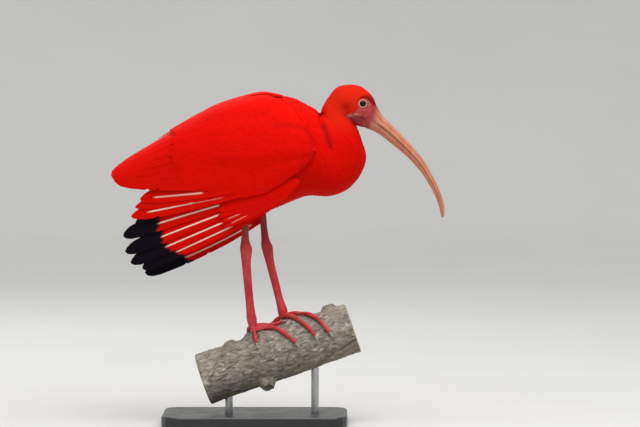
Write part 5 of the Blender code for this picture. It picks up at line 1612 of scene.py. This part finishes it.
def limb_of(foot):
    """One leg with its foot as a single remeshed body."""
    rows = np.array(LEGS[foot])
    hub = bark(FEET[foot]["hub"][0], math.radians(FEET[foot]["hub"][1]), FEET[foot]["hub"][2])
    ankle = [(hub[0], hub[1], hub[2] - 1.0, 5.6, 5.0), (hub[0], hub[1], hub[2] - 4.2, 4.2, 3.8)]
    leg = tube_piece(f"limb_{foot}", limb_grid(np.concatenate([rows, ankle]), 160, 40))
    others = [tube_piece(f"toe_{toe}", tube_rings(toe_path(foot, toe), toe_radii())) for toe in TOES]
    joined(leg, others + [web_body(foot)])
    with_modifier(leg, "REMESH", mode="VOXEL", voxel_size=0.00060)
    with_modifier(leg, "SMOOTH", factor=0.5, iterations=5)
    return leg


def nearest(points, path):
    """For each point: distance along the path, direction off it, and distance from it."""
    steps = np.concatenate([[0], np.cumsum(np.linalg.norm(np.diff(path, axis=0), axis=1))])
    best = np.full(len(points), 1e9)
    along, off = np.zeros(len(points)), np.zeros((len(points), 3))
    for k in range(len(path) - 1):
        run = path[k + 1] - path[k]
        share = np.clip(((points - path[k]) @ run) / (run @ run), 0, 1)
        away = points - path[k] - share[:, None] * run
        d = np.linalg.norm(away, axis=1)
        near = d < best
        best[near], along[near], off[near] = d[near], (steps[k] + share * (steps[k + 1] - steps[k]))[near], away[near]
    return along, off, best


def scaled(leg, foot):
    """Presses plates and small scales into the limb, and stores what its finish needs."""
    points, normals = points_of(leg), normals_of(leg)
    shank = np.array(LEGS[foot])[:, :3]
    shank = evenly(np.concatenate([shank, [bark(FEET[foot]["hub"][0], math.radians(FEET[foot]["hub"][1]), 9.0)]]), 60)
    along, off, away = nearest(points, shank)
    front = unit(off)[:, 0]
    plates_on = ease(front, 0.15, 0.55)
    for toe in TOES:
        path = toe_path(foot, toe, 40)
        t_along, t_off, t_away = nearest(points, path)
        near = (t_away < away * 0.75) & (t_along > 3)
        along = np.where(near, t_along * 1.5 + 7, along)
        plates_on = np.where(near, ease(unit(t_off)[:, 2], 0.0, 0.45), plates_on)
    bare = ease(points[:, 2], 262, 275)
    pitch = 3.6
    phase = np.mod(along / pitch + 0.25 * np.sin(along * 0.9), 1.0)
    plates = 0.30 * (np.abs(np.sin(math.pi * phase)) ** 0.45) - 0.24
    cell = 1.9
    grid = np.abs(np.sin(points[:, 2] * math.pi / cell + points[:, 1] * 0.8)
                  * np.sin((points[:, 0] + 0.6 * points[:, 1]) * math.pi / cell + points[:, 2] * 0.35)) ** 0.5
    small = 0.16 * grid - 0.10
    height = plates * plates_on + small * (1 - plates_on)
    height = height * (1 - 0.6 * bare) + 0.05 * waves(points, 1.6, 71)
    hock = np.exp(-((points[:, 2] - 253) / 9.0) ** 2)
    height += 0.28 * hock * waves(points, 3.4, 72)
    put_points(leg, points + normals * height[:, None])
    # The crease value marks the low grooves between scales and plates, which the finish darkens with painted shade.
    point_value(leg, "crease", np.clip(0.5 - height / 0.28, 0, 1))
    point_value(leg, "upper", ease(points[:, 2], 252, 282))
    point_value(leg, "joint", np.clip(hock * 1.0, 0, 1))


LEG_SKIN, b, shader = finish_of("leg_skin", Specular_IOR_Level=0.22)
place = b.put("TexCoord").outputs["Object"]
cloud = b.noise(place, 70.0, 4.0)
fine = b.noise(place, 900.0, 3.0)
coral = b.mix(b.ramp(cloud, 0.3, 0.7), (0.50, 0.020, 0.030, 1), (0.64, 0.060, 0.066, 1))
coral = b.mix(b.ramp(b.noise(place, 210.0, 3.0), 0.55, 0.8, 0, 0.5), coral, (0.70, 0.16, 0.14, 1))
coral = b.mix(b.math("MULTIPLY", b.value("joint"), 0.35), coral, (0.50, 0.05, 0.035, 1))
coral = b.mix(b.math("MULTIPLY", b.value("upper"), 0.75), coral, (0.26, 0.055, 0.055, 1))
# Painted shade in the grooves between the scales.
coral = b.mix(b.math("MULTIPLY", b.value("crease"), 0.55), coral, (0.26, 0.018, 0.022, 1))
b.give(shader, "Base_Color", coral)
b.give(shader, "Roughness", b.ramp(fine, 0.2, 0.8, 0.36, 0.58))
bumped(b, shader, fine, 0.00012)

CLAW, b, shader = finish_of("claw_horn", Specular_IOR_Level=0.5)
place = b.put("TexCoord").outputs["Object"]
grain = b.noise(place, 500.0, 4.0)
claw_tint = b.mix(b.ramp(grain, 0.3, 0.7), (0.20, 0.13, 0.12, 1), (0.42, 0.31, 0.29, 1))
b.give(shader, "Base_Color", b.mix(b.value("tip"), claw_tint, (0.55, 0.46, 0.43, 1)))
b.give(shader, "Roughness", b.ramp(grain, 0.2, 0.8, 0.25, 0.45))
bumped(b, shader, grain, 0.00010)

limbs, claws = {}, {}
for foot in ("right", "left"):
    limbs[foot] = limb_of(foot)
    scaled(limbs[foot], foot)
    limbs[foot].data.materials.clear()
    limbs[foot].data.materials.append(LEG_SKIN)
    for toe in TOES:
        path = toe_path(foot, toe)
        ahead = unit(path[-1] - path[-6])
        along, degrees, height = FEET[foot][toe][-1]
        down = bark(along, math.radians(degrees), 0.0) - bark(along, math.radians(degrees), 1.0)
        share = np.linspace(0, 1, 26)[:, None]
        middle = path[-1] + ahead * (GAP + CLAW_LENGTH * share) + down * 1.3 * share * share
        radii = 1.85 * (1 - share[:, 0] ** 1.7 * 0.82) * (0.55 + 0.45 * ease(share[:, 0], -0.02, 0.10))
        claw = tube_piece(f"claw_{foot}_{toe}_fine", tube_rings(middle, radii, 20), CLAW)
        point_value(claw, "tip", np.append(np.repeat(ease(share[:, 0], 0.35, 1.0), 20), [0.0, 1.0]))
        claws[f"claw_{foot}_{toe}"] = claw
print("limbs:", {k: triangles(v) for k, v in limbs.items()})

# %% [markdown]
# ## The branch
# The bird grips a cut length of branch. Its bark is grey, finely cracked along the wood, with
# thin scales that lift at their edges, old scars, a knot or two, and pale lichen. The coarse
# relief is in the points, because it shows in the outline; the fine grain is in the finish.
# Under each foot the wood swells up to the arch of the toes, as at an old branch scar, and
# near the toes the relief is kept low, so that they rest on the bark.

# %% Bark relief
KNOTS = ((-58.0, 10.0, 7.0, 4.5), (78.0, -15.0, 8.0, 6.0), (-28.0, 152.0, 8.5, 9.0))


def bark_relief(along, angle, points):
    """Height of the bark's relief in millimetres, and its cracks."""
    girth = angle * BRANCH_RADIUS
    bend = 5.0 * waves(points, 60.0, 81)
    across = girth + bend
    cracks = np.zeros(along.shape)
    for size, deep, seed in ((12.0, 0.8, 82), (7.0, 0.55, 83), (4.0, 0.35, 84)):
        line = np.abs(waves(np.stack([along * 0.16, across, 0 * along], axis=-1), size, seed, 2))
        cracks = np.maximum(cracks, deep * np.exp(-(line / 0.085) ** 2))
    cross = np.abs(waves(np.stack([along, across * 0.3, 0 * along], axis=-1), 9.0, 85, 2))
    cracks = np.maximum(cracks, 0.35 * np.exp(-(cross / 0.05) ** 2))
    plates = waves(np.stack([along * 0.25, across, 0 * along], axis=-1), 8.0, 86, 3)
    height = 0.35 * plates + 0.25 * waves(points, 3.2, 87) + 0.55 * waves(points, 26.0, 88) - 0.95 * cracks - 0.55
    for place, degrees, radius, high in KNOTS:
        off = np.hypot(along - place, (np.mod(angle - math.radians(degrees) + math.pi, 2 * math.pi) - math.pi)
                       * BRANCH_RADIUS)
        collar = high * (1 - ease(off, radius * 0.75, radius * 1.5))
        collar += 0.12 * high * np.exp(-((off - radius * 1.35) / 2.0) ** 2)
        scar = 0.30 * high * (1 - ease(off, 0.0, radius * 0.62)) + 0.35 * np.sin(off * 2.6) * (off < radius)
        height = height + collar - scar
    return height, cracks


branch_rows = np.linspace(*BRANCH_ENDS, 330)
branch_turns = full_turn(250)
along, angle = np.meshgrid(branch_rows, branch_turns, indexing="ij")
ground = bark(along, angle)
relief, cracks = bark_relief(along, angle, ground)
swell, room, closest = (np.full(along.shape, value) for value in (0.0, 99.0, 99.0))
for foot in FEET:
    for toe in TOES:
        for x, degrees, height in evenly([FEET[foot]["hub"], *FEET[foot][toe]], 24):
            turn = np.mod(angle - math.radians(degrees) + math.pi, 2 * math.pi) - math.pi
            off = np.hypot(along - x, turn * BRANCH_RADIUS)
            closest = np.minimum(closest, off)
            swell = np.maximum(swell, min(height - 3.4, 6.2) * (1 - ease(off, 3.0, 15.0)))
            room = np.minimum(room, height - 3.3 + 0.9 * np.maximum(off - 3.2, 0))
calm = 1 - ease(closest, 3.5, 10.0)
relief = relief * (1 - 0.7 * calm) + swell
relief = np.where(closest < 30, np.minimum(relief, room), relief)
end = ease(np.minimum(along - BRANCH_ENDS[0], BRANCH_ENDS[1] - along), 0.0, 1.6)
grid = bark(along, angle, relief - 0.8 * (1 - end))
SAWN = np.array([0.97, 0.93, 0.9, *np.linspace(0.86, 0.04, 46)])


def cut_end(rim, sign):
    """Rings of points that close one end with a sawn face."""
    dip = 0.30 * (SAWN > 0.91) - 0.10 * np.sin(SAWN * 75) - 0.4 * (SAWN < 0.05)
    return rim.mean(0) + (rim - rim.mean(0)) * SAWN[:, None, None] + RISE * (sign * dip)[:, None, None]


whole = np.concatenate([cut_end(grid[0], -1)[::-1], grid, cut_end(grid[-1], 1)])
BARK, b, shader = finish_of("bark_finish", Specular_IOR_Level=0.25)
place = b.put("TexCoord").outputs["Object"]
long_grain = b.noise(b.stretched(place, (0.35, 1.0, 1.0), (0, -BRANCH_RISE, 0)), 240.0, 6.0, 0.65)
patches = b.noise(place, 42.0, 5.0, 0.6)
grey = b.mix(b.ramp(long_grain, 0.30, 0.72), (0.125, 0.105, 0.082, 1), (0.46, 0.42, 0.35, 1))
grey = b.mix(b.ramp(patches, 0.42, 0.74, 0, 0.8), grey, (0.22, 0.185, 0.14, 1))
lichen = b.ramp(b.noise(place, 78.0, 7.0, 0.72), 0.56, 0.66)
grey = b.mix(b.math("MULTIPLY", lichen, 0.8), grey, (0.55, 0.53, 0.46, 1))
moss = b.ramp(b.noise(place, 55.0, 6.0, 0.7), 0.63, 0.72)
grey = b.mix(b.math("MULTIPLY", moss, 0.45), grey, (0.13, 0.135, 0.07, 1))
# Painted shade: the cracks are darkened almost to black.
grey = b.mix(b.math("MULTIPLY", b.value("crack"), 0.85, clamp=True), grey, (0.022, 0.017, 0.013, 1))
rings_colour = b.mix(b.math("ADD", b.math("MULTIPLY", b.math("SINE", b.math("MULTIPLY", b.value("ring"), 150.0)), 0.3), 0.45),
                     (0.46, 0.33, 0.20, 1), (0.62, 0.48, 0.32, 1))
rings_colour = b.mix(b.ramp(long_grain, 0.35, 0.75, 0, 0.5), rings_colour, (0.30, 0.20, 0.12, 1))
b.give(shader, "Base_Color", b.mix(b.value("sawn"), grey, rings_colour))
b.give(shader, "Roughness", b.ramp(long_grain, 0.2, 0.8, 0.95, 0.75))
bumped(b, shader, long_grain, 0.0009, 0.9)
branch = tube_piece("perch_branch_fine", whole, BARK)
zeros = np.zeros((len(SAWN), 250))
# The crack value tells the finish where to paint shade in the cracks.
point_value(branch, "crack", np.append(np.concatenate([zeros, cracks, zeros]).ravel(), [0, 0]))
share = np.concatenate([SAWN[::-1], np.ones(len(grid)), SAWN])
point_value(branch, "sawn", np.append(np.repeat(share < 0.92, 250), [1, 1]))
point_value(branch, "ring", np.append(np.repeat(share, 250), [0, 0]))

ROD_RADIUS, ROD_PLACES, ROD_SOCKET, BASE_UNDERSIDE = 5.0, (-34.0, 78.0), 8.0, 28.0


def rod_hole(x):
    middle = BRANCH_MIDDLE[1] + (x - BRANCH_MIDDLE[0]) * math.tan(BRANCH_RISE)
    top = middle - BRANCH_RADIUS / math.cos(BRANCH_RISE) + ROD_SOCKET + GAP
    a = full_turn(48)
    reach = ROD_RADIUS + GAP
    return tube_piece("hole", [np.stack([x + reach * np.cos(a), reach * np.sin(a), np.full(48, z)], axis=-1)
                               for z in (BASE_UNDERSIDE + 10, top)])


joined(branch, [rod_hole(x) for x in ROD_PLACES], operation="DIFFERENCE")
branch.data.shade_smooth()
branch.data.set_sharp_from_angle(angle=math.radians(50))
print("branch:", triangles(branch), "triangles")

# %% [markdown]
# ## The stand
# The stand is a plain plate with two short rods, black lacquer and brushed steel, so that it
# doesn't draw the eye. Its solids are already right, so they stay, and only get a finish: a
# satin lacquer with a faint orange-peel surface, and steel with fine scratches round the rod.

# %% Stand finishes
LACQUER, b, shader = finish_of("stand_lacquer", Specular_IOR_Level=0.45, Coat_Weight=0.25, Coat_Roughness=0.25)
place = b.put("TexCoord").outputs["Object"]
peel = b.noise(place, 420.0, 2.0)
dust = b.ramp(b.noise(place, 38.0, 5.0, 0.65), 0.45, 0.8, 0, 0.5)
b.give(shader, "Base_Color", b.mix(dust, (0.012, 0.012, 0.013, 1), (0.028, 0.027, 0.026, 1)))
b.give(shader, "Roughness", b.ramp(dust, 0, 0.5, 0.30, 0.48))
bumped(b, shader, peel, 0.00006)
STEEL, b, shader = finish_of("stand_steel", Metallic=1.0)
place = b.put("TexCoord").outputs["Object"]
scratch = b.noise(b.stretched(place, (0.05, 0.05, 1.0)), 1800.0, 3.0)
b.give(shader, "Base_Color", b.mix(scratch, (0.36, 0.36, 0.37, 1), (0.60, 0.60, 0.61, 1)))
b.give(shader, "Roughness", b.ramp(scratch, 0.2, 0.8, 0.22, 0.42))
bumped(b, shader, scratch, 0.00003)
for name, finish in (("stand_base", LACQUER), ("stand_rod_1", STEEL), ("stand_rod_2", STEEL)):
    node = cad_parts[name]
    for slot in node.material_slots:
        slot.material = finish

# %% [markdown]
# ## Riding and replacing
# Each piece says which solids it stands for, which are hidden, and it rides on the model's one body.

# %% What stands for what
def stands_for(piece, slot, *nodes):
    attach(piece, "root")
    if nodes:
        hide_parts(*nodes)


stands_for(skin, "feathers", "torso", "neck", "head", "thigh_left", "thigh_right")
for piece in coats:
    stands_for(piece, "feathers")
for piece in wings:
    word = piece.name.split("_")[-1]
    stands_for(piece, "feathers", ("wing_" if "arm" in piece.name else "primaries_") + word)
stands_for(tail, "feathers")
stands_for(rectrices, "feathers", "tail")
for piece, word in zip(eyes, ("right", "left")):
    stands_for(piece, "eye", "eye_" + word)
for piece in lids:
    stands_for(piece, "legs")
stands_for(bills[0], "bill", "bill_upper")
stands_for(bills[1], "bill", "bill_lower")
for foot, piece in limbs.items():
    stands_for(piece, "legs", "leg_" + foot, "foot_" + foot)
for node, piece in claws.items():
    stands_for(piece, "claw", node)
stands_for(branch, "bark", "perch_branch")

# %% [markdown]
# ## Floor, light and camera
# A pale floor that curves up into a wall far away, as in a photo studio, and large soft lights
# from above show form without hard shadows. The camera looks at the bird's right side, almost
# level, from some metres away, so the long body isn't distorted.

# %% Floor
a = full_turn(128)
profile = [(r, 0.0) for r in np.linspace(100, 5600, 12)] + [
    (5600 + 3000 * math.sin(t), 3000 - 3000 * math.cos(t)) for t in np.linspace(0.1, math.pi / 2, 16)] + [(8600.0, 5200.0)]
bowl = np.array([np.stack([r * np.cos(a), r * np.sin(a), np.full(128, STAND_SHIFT - 0.4 + z)], axis=-1) for r, z in profile])
quads, tris = closed_faces(len(profile), 128)
floor = mesh_piece("floor", np.concatenate([bowl.reshape(-1, 3), [bowl[0].mean(0)]]), quads[:, ::-1], tris[:128, ::-1])
PALE, b, shader = finish_of("pale_floor", Roughness=0.9, Specular_IOR_Level=0.1)
place = b.put("TexCoord").outputs["Object"]
b.give(shader, "Base_Color", b.mix(b.noise(place, 3.0, 2.0), (0.58, 0.575, 0.56, 1), (0.62, 0.615, 0.60, 1)))
floor.data.materials.append(PALE)

# %% Light
def soft_light(name, place, size, power, colour=(1, 1, 1), towards=(0.0, 0.0, 0.25)):
    lamp = bpy.data.lights.new(name, "AREA")
    lamp.shape, lamp.size, lamp.energy, lamp.color = "DISK", size, power, colour
    made = bpy.data.objects.new(name, lamp)
    made.location = place
    run = np.array(towards) - np.array(place)
    from mathutils import Vector
    made.rotation_euler = Vector(run).to_track_quat("-Z", "Y").to_euler()
    bpy.context.scene.collection.objects.link(made)
    return made


soft_light("overhead", (0.35, -1.1, 2.3), 2.2, 44)
soft_light("rim", (-0.8, 1.9, 1.9), 1.2, 16)
sky = bpy.data.objects.new("sky", bpy.data.lights.new("sky", "SUN"))
sky.data.energy, sky.data.angle = 1.6, math.radians(90)
sky.rotation_euler = (math.radians(22), math.radians(8), 0)
bpy.context.scene.collection.objects.link(sky)
world = bpy.data.worlds.new("studio")
bpy.context.scene.world = world
world.use_nodes = True
world.node_tree.nodes["Background"].inputs["Color"].default_value = (0.86, 0.87, 0.88, 1)
world.node_tree.nodes["Background"].inputs["Strength"].default_value = 0.45

# %% Camera
camera = bpy.data.objects.new("camera", bpy.data.cameras.new("camera"))
bpy.context.scene.collection.objects.link(camera)
DISTANCE, ELEVATION, FRAME_WIDTH = 4.5, math.radians(2.0), 0.832
AIM = np.array([0.0845, 0.0, 0.273])
camera.data.sensor_width = 36.0
camera.data.lens = 36.0 * DISTANCE / FRAME_WIDTH
camera.data.clip_end = 50
camera.location = AIM + DISTANCE * np.array([0, -math.cos(ELEVATION), math.sin(ELEVATION)])
camera.rotation_euler = (math.pi / 2 - ELEVATION, 0, 0)
bpy.context.scene.camera = camera
bpy.context.scene.view_settings.view_transform = "Standard"
print("camera at", [round(v, 3) for v in camera.location], "lens", round(camera.data.lens, 1))

# %% The end
bpy.context.view_layer.update()
